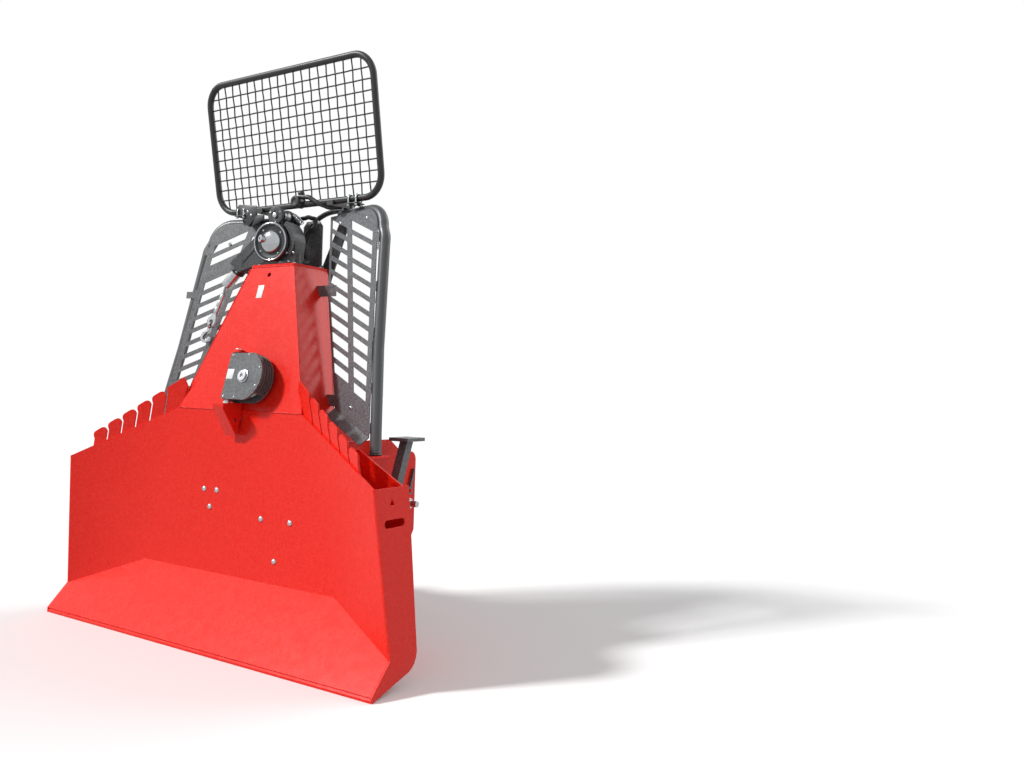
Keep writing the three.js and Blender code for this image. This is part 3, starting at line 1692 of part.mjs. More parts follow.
function makeThimble() {
  const start = ropeEnd.ferruleLength + seat;
  const half = ropeEnd.thimbleHalf;
  const tall = ropeEnd.thimbleTall;
  const outline = new THREE.Shape();
  outline.moveTo(0, -ropeEnd.ferrule / 2);
  outline.quadraticCurveTo(tall / 3, -half, tall - half, -half);
  outline.absarc(tall - half, 0, half, -Math.PI / 2, Math.PI / 2);
  outline.quadraticCurveTo(tall / 3, half, 0, ropeEnd.ferrule / 2);
  outline.holes.push(circle(tall - half, 0, ropeEnd.thimbleHole));
  const frame = hangFrame(start);
  frame.multiply(new THREE.Matrix4().makeTranslation(0, 0, -ropeEnd.thimbleThick / 2));
  return extruded(outline, ropeEnd.thimbleThick, frame);
}

function makeEndHook() {
  const hole = ropeEnd.ferruleLength + seat + ropeEnd.thimbleTall - ropeEnd.thimbleHalf;
  const wire = ropeEnd.linkWire;
  const bow = ropeEnd.linkRadius - Math.sqrt(ropeEnd.linkRadius ** 2 - (ropeEnd.thimbleThick / 2) ** 2);
  const lowest = hole + ropeEnd.thimbleHole - wire - bow - play * 2;
  const centre = lowest + ropeEnd.linkRadius;
  const link = new THREE.TorusGeometry(ropeEnd.linkRadius, wire, 8, facets.pin);
  const linkBody = solid(link.applyMatrix4(frameAt(hangPoint(centre), hangAlong, hangOut)));
  const neck = centre + ropeEnd.linkRadius - wire / 2;
  const half = ropeEnd.hookHalf;
  const tall = ropeEnd.hookTall;
  const outline = new THREE.Shape();
  outline.moveTo(0, -wire * 1.2);
  outline.lineTo(tall / 4, -wire * 1.2);
  outline.quadraticCurveTo(tall / 3, -half, tall - half, -half);
  outline.absarc(tall - half, 0, half, -Math.PI / 2, Math.PI / 2);
  outline.lineTo(tall / 2, half);
  outline.lineTo(tall / 2 + wire, half / 2);
  outline.lineTo(tall - half, half / 2);
  outline.absarc(tall - half, 0, half / 2, Math.PI / 2, -Math.PI / 2, true);
  outline.quadraticCurveTo(tall / 3, -half / 3, tall / 4, wire * 1.2);
  outline.lineTo(0, wire * 1.2);
  const frame = hangFrame(neck);
  frame.multiply(new THREE.Matrix4().makeTranslation(0, 0, -ropeEnd.hookThick / 2));
  return join(linkBody, extruded(outline, ropeEnd.hookThick, frame));
}

// Lower pulley on the tower's rear face: x across, h out from the face, s up the slope

const lowerOrigin = vec(0, towerSlope * (lower.centreZ - blade.topZ), lower.centreZ);

function onFace(x, h, s) {
  return lowerOrigin.clone().addScaledVector(X, x).addScaledVector(towerFace, h).addScaledVector(towerUp, s);
}

function faceSlab(outline, h0, h1) {
  return extruded(outline, h1 - h0, frameAt(onFace(0, h0, 0), X, towerUp));
}

function faceRod(x, s, h0, h1, radius, sides = facets.round) {
  return rod(onFace(x, h0, s), onFace(x, h1, s), radius, sides);
}

function pinRod(s0, s1, radius, sides = facets.pin) {
  return rod(onFace(lower.pinX, lower.pinH, s0), onFace(lower.pinX, lower.pinH, s1), radius, sides);
}

const lugS = lower.tall / 2 + lower.bracketSheet;

function pinBore(s0, s1) {
  const radius = lower.pinRadius + seat;
  return bore(onFace(lower.pinX, lower.pinH, s0), onFace(lower.pinX, lower.pinH, s1), radius);
}

function makeUpperLug() {
  const reachOut = lower.lugReach;
  const outline = new THREE.Shape();
  outline.moveTo(-lower.lugHalf, tower.sheet / -2);
  outline.lineTo(lower.lugHalf, tower.sheet / -2);
  outline.lineTo(lower.lugHalf * 0.8, reachOut - lower.lugHalf / 2);
  outline.quadraticCurveTo(lower.lugHalf * 0.7, reachOut, 0, reachOut);
  outline.quadraticCurveTo(-lower.lugHalf * 0.7, reachOut, -lower.lugHalf * 0.8, reachOut - lower.lugHalf / 2);
  const plate = extruded(outline, lower.lugThick, frameAt(onFace(0, 0, lugS + lower.lugThick), X, towerFace));
  return cut(plate, pinBore(lugS - overrun, lugS + lower.lugThick + overrun));
}

function makeLowerBracket() {
  const topZ = onFace(0, lower.rear, -lower.tall / 2).z - seat * 2;
  const half = lower.bracketHalf;
  const reachOut = lower.bracketReach;
  const thick = lower.bracketSheet;
  const low = topZ - lower.bracketTall;
  const outline = [
    pt(-seat, topZ),
    pt(-reachOut, topZ),
    pt(-reachOut, topZ - lower.bracketLip),
    pt(-thick * 2, low),
    pt(-seat, low),
  ];
  const inside = [
    pt(thick, topZ - thick),
    pt(-reachOut + thick, topZ - thick),
    pt(-reachOut + thick, topZ - lower.bracketLip - thick / 2),
    pt(-thick, low + thick),
    pt(thick, low + thick),
  ];
  const body = cut(slabX(outline, -half, half * 2), slabX(inside, -half + thick, half * 2 - thick * 2));
  const hole = rod(
    vec(-half - overrun, -reachOut * 0.35, topZ - lower.bracketTall * 0.42),
    vec(half + overrun, -reachOut * 0.35, topZ - lower.bracketTall * 0.42),
    lower.bracketHole,
    20,
  );
  const pinHole = pinBore(-lugS - lower.knuckleTall, -lugS + overrun);
  const upright = trim(cut(body, hole, pinHole), vec(0, -seat, 0), Y);
  return trim(upright, onFace(0, seat, 0), towerFace.clone().negate());
}

function makeHingePin() {
  const head = lower.pinRadius * 1.6;
  const topS = lugS + lower.lugThick + seat;
  const shaft = pinRod(-lugS - lower.bracketSheet * 2, topS + lower.lugThick / 2, lower.pinRadius);
  const crown = pinRod(topS, topS + lower.lugThick / 2, head, facets.pin);
  return join(shaft, crown);
}

function pulleyOutline(grow) {
  const half = lower.tall / 2;
  const shape = new THREE.Shape();
  const corner = Math.acos(half / lower.radius);
  const start = -Math.PI / 2 + corner * 0.4;
  shape.moveTo(lower.edgeX, -half);
  shape.lineTo(lower.hubX + Math.cos(start) * lower.radius * 0.7, -half);
  shape.absarc(lower.hubX, 0, lower.radius + grow, -Math.asin(half / lower.radius), Math.asin(half / lower.radius));
  shape.lineTo(lower.edgeX, half);
  return shape;
}

function makePulleyBlock() {
  const outline = pulleyOutline(0);
  const rearPlate = faceSlab(outline, lower.rear, lower.rear + lower.plate);
  const facePlate = faceSlab(outline, lower.face - lower.plate, lower.face);
  const rim = new THREE.Shape();
  const from = rad(lower.rimFrom);
  const to = rad(lower.rimTo);
  rim.absarc(lower.hubX, 0, lower.radius - seat, to, from, false);
  rim.absarc(lower.hubX, 0, lower.radius - lower.rimThick, from, to, true);
  const rimBand = faceSlab(rim, lower.rear + lower.plate / 2, lower.face - lower.plate / 2);
  const half = lower.tall / 2;
  const knuckles = [half - lower.knuckleTall, -half].map((s) => pinRod(s, s + lower.knuckleTall, lower.knuckle));
  const webs = [half - lower.knuckleTall, -half].map((s) => faceSlab(
    [
      pt(lower.edgeX, s),
      pt(lower.knuckle, s),
      pt(lower.knuckle, s + lower.knuckleTall / 3),
      pt(lower.edgeX, s + lower.knuckleTall / 3),
    ],
    lower.rear + lower.plate / 2,
    lower.face - lower.plate / 2,
  ));
  const sheaveRoom = faceRod(lower.hubX, 0, lower.rear + lower.plate, lower.face - lower.plate, lower.sheave + 1.5 * seat, facets.wheel);
  const inner = cut(join(...knuckles, ...webs), sheaveRoom);
  const pinHole = pinBore(-half - overrun, half + overrun);
  const boltHole = faceRod(lower.hubX, 0, 0, lower.face + overrun, lower.boltRadius + seat);
  const body = trim(join(rearPlate, facePlate, rimBand, inner), onFace(0, lower.face, 0), towerFace);
  return cut(body, pinHole, boltHole);
}

function makeLowerSheave() {
  const half = lower.sheaveWide / 2;
  const middle = (lower.rear + lower.face) / 2;
  const profile = [
    pt(lower.boltRadius + seat, -half - seat),
    pt(lower.boltHead, -half - seat),
    pt(lower.boltHead, -half / 2),
    pt(lower.sheaveNeck - half, -half / 2),
    pt(lower.sheave, -half),
    pt(lower.sheaveNeck, -half / 4),
    pt(lower.sheaveNeck, half / 4),
    pt(lower.sheave, half),
    pt(lower.sheaveNeck - half, half / 2),
    pt(lower.boltHead, half / 2),
    pt(lower.boltHead, half + seat),
    pt(lower.boltRadius + seat, half + seat),
    pt(lower.boltRadius + seat, -half - seat),
  ];
  return turned(profile, frameAt(onFace(lower.hubX, middle, 0), X, towerUp), facets.wheel);
}

function makeLowerBolt() {
  const nutThick = lower.rear - seat * 4;
  const shaft = faceRod(lower.hubX, 0, lower.rear - nutThick * 0.6, lower.face + lower.boltHeadThick, lower.boltRadius);
  const headBody = faceRod(lower.hubX, 0, lower.face + seat, lower.face + lower.boltHeadThick, lower.boltHead, facets.round);
  const socket = faceRod(lower.hubX, 0, lower.face + lower.boltHeadThick / 2, lower.face + lower.boltHeadThick * 2, lower.socket, 6);
  return cut(join(shaft, headBody), socket);
}

// Rope drum and drive: turned about an axis along the winch

const alongY = frameAt(vec(0, 0, drum.z), Z, X);

function centreDistance() {
  return ((gear.teeth + gear.pinion) * gear.module) / 2 + gear.slack / 2;
}

function makeDrum() {
  const rearFace = drum.rear;
  const in0 = rearFace + drum.flangeThick;
  const in1 = in0 + drum.inside;
  const frontFace = in1 + drum.flangeThick;
  const clutch = drum.flange * 0.62;
  const profile = [
    pt(0, drum.rearEnd),
    pt(drum.shaft, drum.rearEnd),
    pt(drum.shaft, rearFace),
    pt(drum.flange, rearFace),
    pt(drum.flange, in0),
    pt(drum.barrel, in0),
    pt(drum.barrel, in1),
    pt(drum.flange, in1),
    pt(drum.flange, frontFace),
    pt(clutch, frontFace),
    pt(clutch, gear.from - seat),
    pt(drum.stub, gear.from - seat),
    pt(drum.stub, drum.frontEnd),
    pt(0, drum.frontEnd),
  ];
  return turned(profile, alongY, facets.wheel);
}

function makeRearBearing() {
  const rear = blade.sheet + seat;
  const profile = [
    pt(drum.shaft + play, rear),
    pt(drum.bearing, rear),
    pt(drum.bearing, rear + drum.bearingThick / 3),
    pt(drum.bearing * 0.7, rear + drum.bearingThick / 2),
    pt(drum.bearing * 0.62, rear + drum.bearingThick),
    pt(drum.shaft + play, rear + drum.bearingThick),
    pt(drum.shaft + play, rear),
  ];
  return turned(profile, alongY, facets.round);
}

// The outer layer of rope on the drum: one unbroken tube, wound by a loop
function drumRopePath() {
  const lay = (drum.barrel + rope.radius + seat) / Math.cos(Math.PI / rope.steps);
  const width = rope.pitch * rope.turns;
  const start = drum.rear + drum.flangeThick + (drum.inside - width) / 2;
  const steps = rope.turns * rope.steps;
  const path = [];
  for (let i = 0; i <= steps; i += 1) {
    const angle = (i / rope.steps) * Math.PI * 2;
    const out = vec(Math.sin(angle), 0, Math.cos(angle));
    const y = start + (i / rope.steps) * rope.pitch;
    path.push({ point: vec(0, y, drum.z).addScaledVector(out, lay), out });
  }
  const straight = (end, next) => {
    const away = end.point.clone().sub(next.point).setLength(rope.radius * 2);
    return { point: end.point.clone().add(away), out: end.out };
  };
  path.unshift(straight(path[0], path[1]));
  path.push(straight(path[path.length - 1], path[path.length - 2]));
  return path;
}

function leastTurnGap(path) {
  let least = Infinity;
  for (let i = 0; i < path.length; i += 1) {
    for (let j = i + Math.round(rope.steps / 2); j < path.length; j += 1) {
      least = Math.min(least, path[i].point.distanceTo(path[j].point));
    }
  }
  return least - rope.radius * 2;
}

function makeDrumRope() {
  const path = drumRopePath();
  const positions = [];
  const index = [];
  path.forEach(({ point, out }) => {
    for (let k = 0; k < rope.sides; k += 1) {
      const turn = (k / rope.sides) * Math.PI * 2;
      const p = point.clone().addScaledVector(out, Math.cos(turn) * rope.radius);
      positions.push(p.x, p.y + Math.sin(turn) * rope.radius, p.z);
    }
  });
  for (let i = 0; i + 1 < path.length; i += 1) {
    for (let k = 0; k < rope.sides; k += 1) {
      const a = i * rope.sides + k;
      const b = i * rope.sides + ((k + 1) % rope.sides);
      index.push(a, b, a + rope.sides, b, b + rope.sides, a + rope.sides);
    }
  }
  const last = (path.length - 1) * rope.sides;
  for (let k = 1; k + 1 < rope.sides; k += 1) {
    index.push(0, k + 1, k);
    index.push(last, last + k, last + k + 1);
  }
  console.log('least gap between the turns of rope, mm:', leastTurnGap(path).toFixed(2));
  const geometry = new THREE.BufferGeometry();
  geometry.setAttribute('position', new THREE.Float32BufferAttribute(positions, 3));
  geometry.setIndex(index);
  return solid(geometry);
}

function gearShape(teeth, turn) {
  const pitch = (teeth * gear.module) / 2;
  const tipRadius = pitch + gear.module * 0.85;
  const rootRadius = pitch - gear.module * 1.15;
  const step = (Math.PI * 2) / teeth;
  const points = [];
  for (let i = 0; i < teeth; i += 1) {
    const angle = turn + step * i;
    const corners = [
      [rootRadius, -0.3],
      [tipRadius, -0.12],
      [tipRadius, 0.12],
      [rootRadius, 0.3],
    ];
    corners.forEach(([radius, share]) => {
      const at = angle + share * step;
      points.push(pt(Math.cos(at) * radius, Math.sin(at) * radius));
    });
  }
  return new THREE.Shape(points);
}

function makeGearWheel() {
  const shape = gearShape(gear.teeth, -Math.PI / 2);
  shape.holes.push(circle(0, 0, drum.stub + seat * 2));
  const frame = frameAt(vec(0, gear.from + gear.wide, drum.z), X, Z);
  return extruded(shape, gear.wide, frame);
}

function makePinion() {
  const z = drum.z - centreDistance();
  const half = Math.PI / gear.pinion;
  const teeth = extruded(
    gearShape(gear.pinion, Math.PI / 2 + half),
    gear.wide,
    frameAt(vec(0, gear.from + gear.wide, z), X, Z),
  );
  const splines = new THREE.Shape();
  const count = 6;
  const step = (Math.PI * 2) / count;
  for (let i = 0; i < count; i += 1) {
    const angle = step * i;
    splines[i === 0 ? 'moveTo' : 'lineTo'](
      Math.cos(angle - step * 0.25) * gear.shaft,
      Math.sin(angle - step * 0.25) * gear.shaft,
    );
    splines.lineTo(Math.cos(angle + step * 0.25) * gear.shaft, Math.sin(angle + step * 0.25) * gear.shaft);
    splines.lineTo(Math.cos(angle + step * 0.3) * gear.shaft * 0.84, Math.sin(angle + step * 0.3) * gear.shaft * 0.84);
    splines.lineTo(Math.cos(angle + step * 0.7) * gear.shaft * 0.84, Math.sin(angle + step * 0.7) * gear.shaft * 0.84);
  }
  const coverFace = housing.frontY + housing.cover;
  const stub = extruded(
    splines,
    gear.shaftEnd - coverFace,
    frameAt(vec(0, gear.shaftEnd, z), X, Z),
  );
  const shaft = rod(vec(0, gear.from - gear.wide / 2, z), vec(0, coverFace + overrun, z), gear.shaft, facets.round);
  return join(teeth, shaft, stub);
}

function makePtoGuard() {
  const z = drum.z - centreDistance();
  const from = housing.frontY + seat + housing.cover + seat;
  const profile = [
    pt(guard.outer - guard.thick, from),
    pt(guard.flange, from),
    pt(guard.flange, from + guard.thick),
    pt(guard.outer, from + guard.thick),
    pt(guard.mouth, from + guard.length),
    pt(guard.mouth - guard.thick, from + guard.length),
    pt(guard.outer - guard.thick, from + guard.thick),
    pt(guard.outer - guard.thick, from),
  ];
  return turned(profile, frameAt(vec(0, 0, z), Z, X), facets.round);
}

// Oil tank beside the housing on the left, valve block on the right

function makeTank() {
  const outer = -blade.topHalf - tank.inner;
  const far = -hitch.x + tank.outer;
  const bottom = housing.bottomZ;
  const shape = new THREE.Shape();
  const r = tank.round;
  shape.absarc(outer - r, tank.rear + r, r, -Math.PI / 2, 0);
  shape.absarc(outer - r, tank.front - r, r, 0, Math.PI / 2);
  shape.absarc(far + r, tank.front - r, r, Math.PI / 2, Math.PI);
  shape.absarc(far + r, tank.rear + r, r, Math.PI, Math.PI * 1.5);
  const body = slabZ(shape, bottom, tank.tall);
  const middle = (outer + far) / 2;
  const capY = (tank.rear + tank.front) / 2;
  const filler = rod(
    vec(middle, capY, bottom + tank.tall - overrun),
    vec(middle, capY, bottom + tank.tall + tank.capTall),
    tank.cap,
  );
  return join(body, filler);
}

function makeValve() {
  const inner = blade.topHalf + seat;
  const body = block(inner, inner + valve.wide, valve.rear, valve.front, valve.bottom, valve.bottom + valve.tall);
  const coils = [0.25, 0.5, 0.75].map((share) => {
    const y = valve.rear + (valve.front - valve.rear) * share;
    const x = inner + valve.wide / 2;
    const z = valve.bottom + valve.tall;
    return rod(vec(x, y, z - overrun), vec(x, y, z + valve.coilLength), valve.coil, facets.pin);
  });
  return join(body, ...coils);
}

// Parking leg, drawn up for transport, and the lock lever on the hitch plate

const legUp = vec(0, Math.sin(rad(leg.lean)), Math.cos(rad(leg.lean)));

function makeLeg() {
  const pivot = vec(leg.x, leg.y, leg.z);
  const side = vec(0, 0, 0).crossVectors(legUp, X);
  const frame = frameAt(pivot, X, side);
  const start = frame.clone().multiply(new THREE.Matrix4().makeTranslation(0, 0, 0));
  const bar = [pt(-leg.half, -leg.half), pt(leg.half, -leg.half), pt(leg.half, leg.half), pt(-leg.half, leg.half)];
  const toward = vec(0, 0, 0).crossVectors(X, side).dot(legUp) > 0 ? 1 : -1;
  const bars = extruded(bar, leg.length * toward, start);
  const eye = rod(vec(leg.x - leg.half, leg.y, leg.z), vec(leg.x + leg.half, leg.y, leg.z), leg.eye);
  const hole = bore(
    vec(leg.x - leg.half - overrun, leg.y, leg.z),
    vec(leg.x + leg.half + overrun, leg.y, leg.z),
    leg.pin + seat,
  );
  const footAt = pivot.clone().addScaledVector(legUp, leg.length);
  const foot = block(
    leg.x - leg.footHalf,
    leg.x + leg.footHalf,
    footAt.y - leg.footDeep,
    footAt.y + leg.footDeep,
    footAt.z - leg.half * Math.sin(rad(leg.lean)),
    footAt.z + leg.footThick,
  );
  return cut(join(bars, eye, foot), hole);
}

function makeLockLever() {
  const x = hitch.x + hitch.sheet + seat;
  const at = vec(x, lever.y, lever.z);
  const disc = rod(at, at.clone().addScaledVector(X, lever.thick), lever.disc);
  const along = vec(0, Math.sin(rad(lever.lean)), Math.cos(rad(lever.lean)));
  const side = vec(0, 0, 0).crossVectors(along, X);
  const strip = new THREE.Shape();
  strip.moveTo(0, -lever.half);
  strip.lineTo(lever.arm, -lever.half / 2);
  strip.absarc(lever.arm, 0, lever.half / 2, -Math.PI / 2, Math.PI / 2);
  strip.lineTo(0, lever.half);
  const third = vec(0, 0, 0).crossVectors(along, side);
  const base = third.x > 0 ? at : at.clone().addScaledVector(X, lever.thick);
  const handle = extruded(strip, lever.thick, frameAt(base, along, side));
  const from = at.clone().addScaledVector(X, -overrun);
  const hole = bore(from, at.clone().addScaledVector(X, lever.thick * 2), lever.pin + seat);
  return cut(join(disc, handle), hole);
}

// Assembly

addBody('blade', makeBlade(), red);
addBody('cutting_edge', makeCuttingEdge(), steel);
addPair('side_wall', makeSideWall(), red);
addPair('back_wall', makeBackWall(), red);
addPair('chain_comb', makeComb(comb.lobes), red);
addBody('tower', makeTower(), red);
addBody('tower_cap', makeTowerCap(), red);
addPair('housing_side', makeHousingSide(), red);
addBody('front_cover', makeFrontCover(), red);
addPair('hitch_plate', makeHitchPlate(), red);
addBody(
  'lower_beam',
  makeTube(hitch.x - seat, lowerBeam.rear, lowerBeam.front, lowerBeam.bottom, housing.bottomZ - seat, lowerBeam.wallThick),
  red,
);
const beamRear = housing.frontY + housing.cover + upperBeam.gap;
addBody(
  'upper_beam',
  makeTube(hitch.x - seat, beamRear, beamRear + upperBeam.deep, upperBeam.bottom, upperBeam.top, upperBeam.wallThick),
  red,
);
addBody('top_link_bracket', makeTopLinkEars(), red);
addBody('top_link_pin', makeTopLinkPin(), zinc);
addPair('lower_link_pin', makeLowerPin(), zinc);
addBody('shield_panel_right', makeShieldPanel(false), grey);
add('shield_panel_left', mirrored(geometryOf(makeShieldPanel(true))), grey);
addPair('shield_tube', makeShieldTube(), grey);
addBody('net_frame', makeNetFrame(), black);
addBody('net_mesh', makeNetMesh(), black);
addBody('net_support', makeNetSupport(), black);
addBody('swivel_flange', makeSwivelFlange(), zinc);
addBody('head_housing', makeHeadHousing(), castGrey);
addBody('rope_sheave', makeSheave(), steel);
addBody('sheave_axle', makeSheaveAxle(), steel);
addBody('hub_ring', makeHubRing(), black);
addBody('hub_cap', makeHubCap(), zinc);
addBody('feed_roller', makeFeedRoller(), steel);
addBody('feed_plate', makeFeedPlate(), castGrey);
addBody('feed_motor', makeFeedMotor(), black);
addBody('outlet_arm', makeOutletArm(), castGrey);
addBody('outlet_nozzle', makeNozzle(), zinc);
addBody('rope_end', makeRopeEnd(), wireRope);
addBody('rope_ferrule', makeFerrule(), zinc);
addBody('rope_thimble', makeThimble(), zinc);
addBody('end_hook', makeEndHook(), zinc);
addBody('lower_bracket', makeLowerBracket(), red);
addBody('lower_pulley_pin', makeHingePin(), zinc);
addBody('pulley_block', makePulleyBlock(), black);
addBody('lower_sheave', makeLowerSheave(), steel);
addBody('lower_sheave_bolt', makeLowerBolt(), zinc);
addBody('drum', makeDrum(), steel);
addBody('drum_rope', makeDrumRope(), wireRope);
addBody('rear_bearing', makeRearBearing(), castGrey);
addBody('gear_wheel', makeGearWheel(), steel);
addBody('drive_pinion', makePinion(), steel);
addBody('pto_guard', makePtoGuard(), guardPlastic);
addBody('oil_tank', makeTank(), black);
addBody('valve_block', makeValve(), castGrey);
addPair('parking_leg', makeLeg(), grey);
addPair('lock_lever', makeLockLever(), grey);

const box = new THREE.Box3().setFromObject(winch);
winch.position.y = -(box.min.y + box.max.y) / 2;

export default winch;
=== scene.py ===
"""A tractor forestry winch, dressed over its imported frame.

Metres, +Z up, +Y to the hitch side, +X to the right as seen from behind the load. The sizes below
repeat the ones that part.mjs is built from, given here in millimetres and turned to metres where
they are used.
"""

import json
import math

import bmesh
import bpy
from mathutils import Matrix, Vector


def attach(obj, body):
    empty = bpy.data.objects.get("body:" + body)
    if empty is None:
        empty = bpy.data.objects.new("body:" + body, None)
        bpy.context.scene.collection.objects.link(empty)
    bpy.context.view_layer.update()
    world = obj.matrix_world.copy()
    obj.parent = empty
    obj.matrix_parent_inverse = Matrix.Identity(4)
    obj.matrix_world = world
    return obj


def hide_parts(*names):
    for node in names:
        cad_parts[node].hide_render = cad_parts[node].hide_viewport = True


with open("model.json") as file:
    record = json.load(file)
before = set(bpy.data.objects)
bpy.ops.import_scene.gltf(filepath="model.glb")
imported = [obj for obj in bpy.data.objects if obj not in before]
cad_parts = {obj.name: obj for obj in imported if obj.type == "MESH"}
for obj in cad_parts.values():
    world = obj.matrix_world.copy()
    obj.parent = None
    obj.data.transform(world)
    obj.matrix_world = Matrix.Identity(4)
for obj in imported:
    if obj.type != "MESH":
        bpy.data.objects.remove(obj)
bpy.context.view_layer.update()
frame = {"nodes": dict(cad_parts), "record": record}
nodes = frame["nodes"]

MM = 0.001
SHIFT = Vector((0, -0.146, 0))  # from the blade's rear face to the middle of the footprint
X_RIGHT = Vector((1, 0, 0))
Y_HITCH = Vector((0, 1, 0))
Z_UP = Vector((0, 0, 1))


def metres(x, y, z):
    """A point in part.mjs's millimetres, as a point in the frame."""
    return Vector((x, y, z)) * MM + SHIFT


# Camera at the photograph's viewpoint

PHOTO_YAW = 31.119
PHOTO_PITCH = 0.31
PHOTO_ROLL = 1.776
PHOTO_EYE = metres(2924.8, -2531.0, 1125.2)
PHOTO_LENS = 29.62
PHOTO_SENSOR = 36


def place_camera():
    yaw, pitch, roll = (math.radians(a) for a in (PHOTO_YAW, PHOTO_PITCH, PHOTO_ROLL))
    level = Vector((math.cos(yaw), math.sin(yaw), 0))
    ahead = Z_UP.cross(level) * math.cos(pitch) + Z_UP * math.sin(pitch)
    above = level.cross(ahead)
    right = level * math.cos(roll) + above * math.sin(roll)
    up = above * math.cos(roll) - level * math.sin(roll)
    data = bpy.data.cameras.new("photo_camera")
    data.lens = PHOTO_LENS
    data.sensor_width = PHOTO_SENSOR
    camera = bpy.data.objects.new("photo_camera", data)
    bpy.context.scene.collection.objects.link(camera)
    camera.matrix_world = Matrix((right, up, -ahead)).transposed().to_4x4()
    camera.location = PHOTO_EYE
    bpy.context.scene.camera = camera


place_camera()


# Materials

CLOUD_MM = 260  # broad clouds of tone in a coat of paint
SMEAR_MM = 48  # where hands and rain have changed its gloss
# The specks also break up the paler edge paint, which is partly a painted highlight.
SPECK_MM = 9  # chips and rubs along its edges
MARK_MM = 5  # tool marks on bare metal


def linear(hex_colour):
    """An sRGB hex colour as linear RGBA."""
    channels = [int(hex_colour[i : i + 2], 16) / 255 for i in (1, 3, 5)]
    return [c / 12.92 if c <= 0.04045 else ((c + 0.055) / 1.055) ** 2.4 for c in channels] + [1]


def add_node(tree, kind, settings, inputs):
    """Adds a node; each input, named by its identifier, takes a value or another node's output."""
    node = tree.nodes.new(kind)
    for key, value in settings.items():
        setattr(node, key, value)
    sockets = {socket.identifier: socket for socket in node.inputs}
    for key, value in inputs.items():
        if isinstance(value, bpy.types.NodeSocket):
            tree.links.new(value, sockets[key])
        else:
            sockets[key].default_value = value
    return node


def new_tree(name):
    """A material with no nodes yet, and its tree."""
    material = bpy.data.materials.new(name)
    material.use_nodes = True
    material.node_tree.nodes.clear()
    return material, material.node_tree


def painted(name, low, high, edge, edge_share, rough, skin_mm, skin_depth_mm, specular=0.5):
    """Paint over metal: two close tones in clouds, a fine skin, and paler paint on the edges,
    partly worn paint and partly a painted highlight.
    """
    material, tree = new_tree(name)
    place = add_node(tree, "ShaderNodeTexCoord", {}, {}).outputs["Object"]
    clouds = add_node(
        tree,
        "ShaderNodeTexNoise",
        {},
        {"Vector": place, "Scale": 1 / (CLOUD_MM * MM), "Detail": 4.0, "Roughness": 0.6},
    )
    tone = add_node(
        tree,
        "ShaderNodeMix",
        {"data_type": "RGBA"},
        {"Factor_Float": clouds.outputs["Fac"], "A_Color": linear(low), "B_Color": linear(high)},
    )
    speck = add_node(
        tree,
        "ShaderNodeTexNoise",
        {},
        {"Vector": place, "Scale": 1 / (SPECK_MM * MM), "Detail": 5.0, "Roughness": 0.65},
    )
    patchy = add_node(
        tree,
        "ShaderNodeMapRange",
        {},
        {
            "Value": speck.outputs["Fac"],
            "From Min": 0.38,
            "From Max": 0.62,
            "To Min": 0.0,
            "To Max": edge_share,
        },
    )
    # Rounded edges get paler paint: partly worn paint, partly a painted highlight on the folds.
    wear_and_highlight = add_node(tree, "ShaderNodeAttribute", {"attribute_name": "edge_wear_and_highlight"}, {})
    share = add_node(
        tree,
        "ShaderNodeMath",
        {"operation": "MULTIPLY"},
        {"Value": wear_and_highlight.outputs["Fac"], "Value_001": patchy.outputs["Result"]},
    )
    colour = add_node(
        tree,
        "ShaderNodeMix",
        {"data_type": "RGBA"},
        {"Factor_Float": share.outputs[0], "A_Color": tone.outputs[2], "B_Color": linear(edge)},
    )
    smears = add_node(
        tree,
        "ShaderNodeTexNoise",
        {},
        {"Vector": place, "Scale": 1 / (SMEAR_MM * MM), "Detail": 5.0, "Roughness": 0.6},
    )
    gloss = add_node(
        tree,
        "ShaderNodeMapRange",
        {},
        {
            "Value": smears.outputs["Fac"],
            "From Min": 0.3,
            "From Max": 0.7,
            "To Min": rough[0],
            "To Max": rough[1],
        },
    )
    skin = add_node(
        tree,
        "ShaderNodeTexNoise",
        {},
        {"Vector": place, "Scale": 1 / (skin_mm * MM), "Detail": 2.0},
    )
    relief = add_node(
        tree,
        "ShaderNodeBump",
        {},
        {"Height": skin.outputs["Fac"], "Distance": skin_depth_mm * MM, "Strength": 1.0},
    )
    shader = add_node(
        tree,
        "ShaderNodeBsdfPrincipled",
        {},
        {
            "Base Color": colour.outputs[2],
            "Roughness": gloss.outputs["Result"],
            "Normal": relief.outputs["Normal"],
            "Specular IOR Level": specular,
        },
    )
    add_node(tree, "ShaderNodeOutputMaterial", {}, {"Surface": shader.outputs["BSDF"]})
    return material


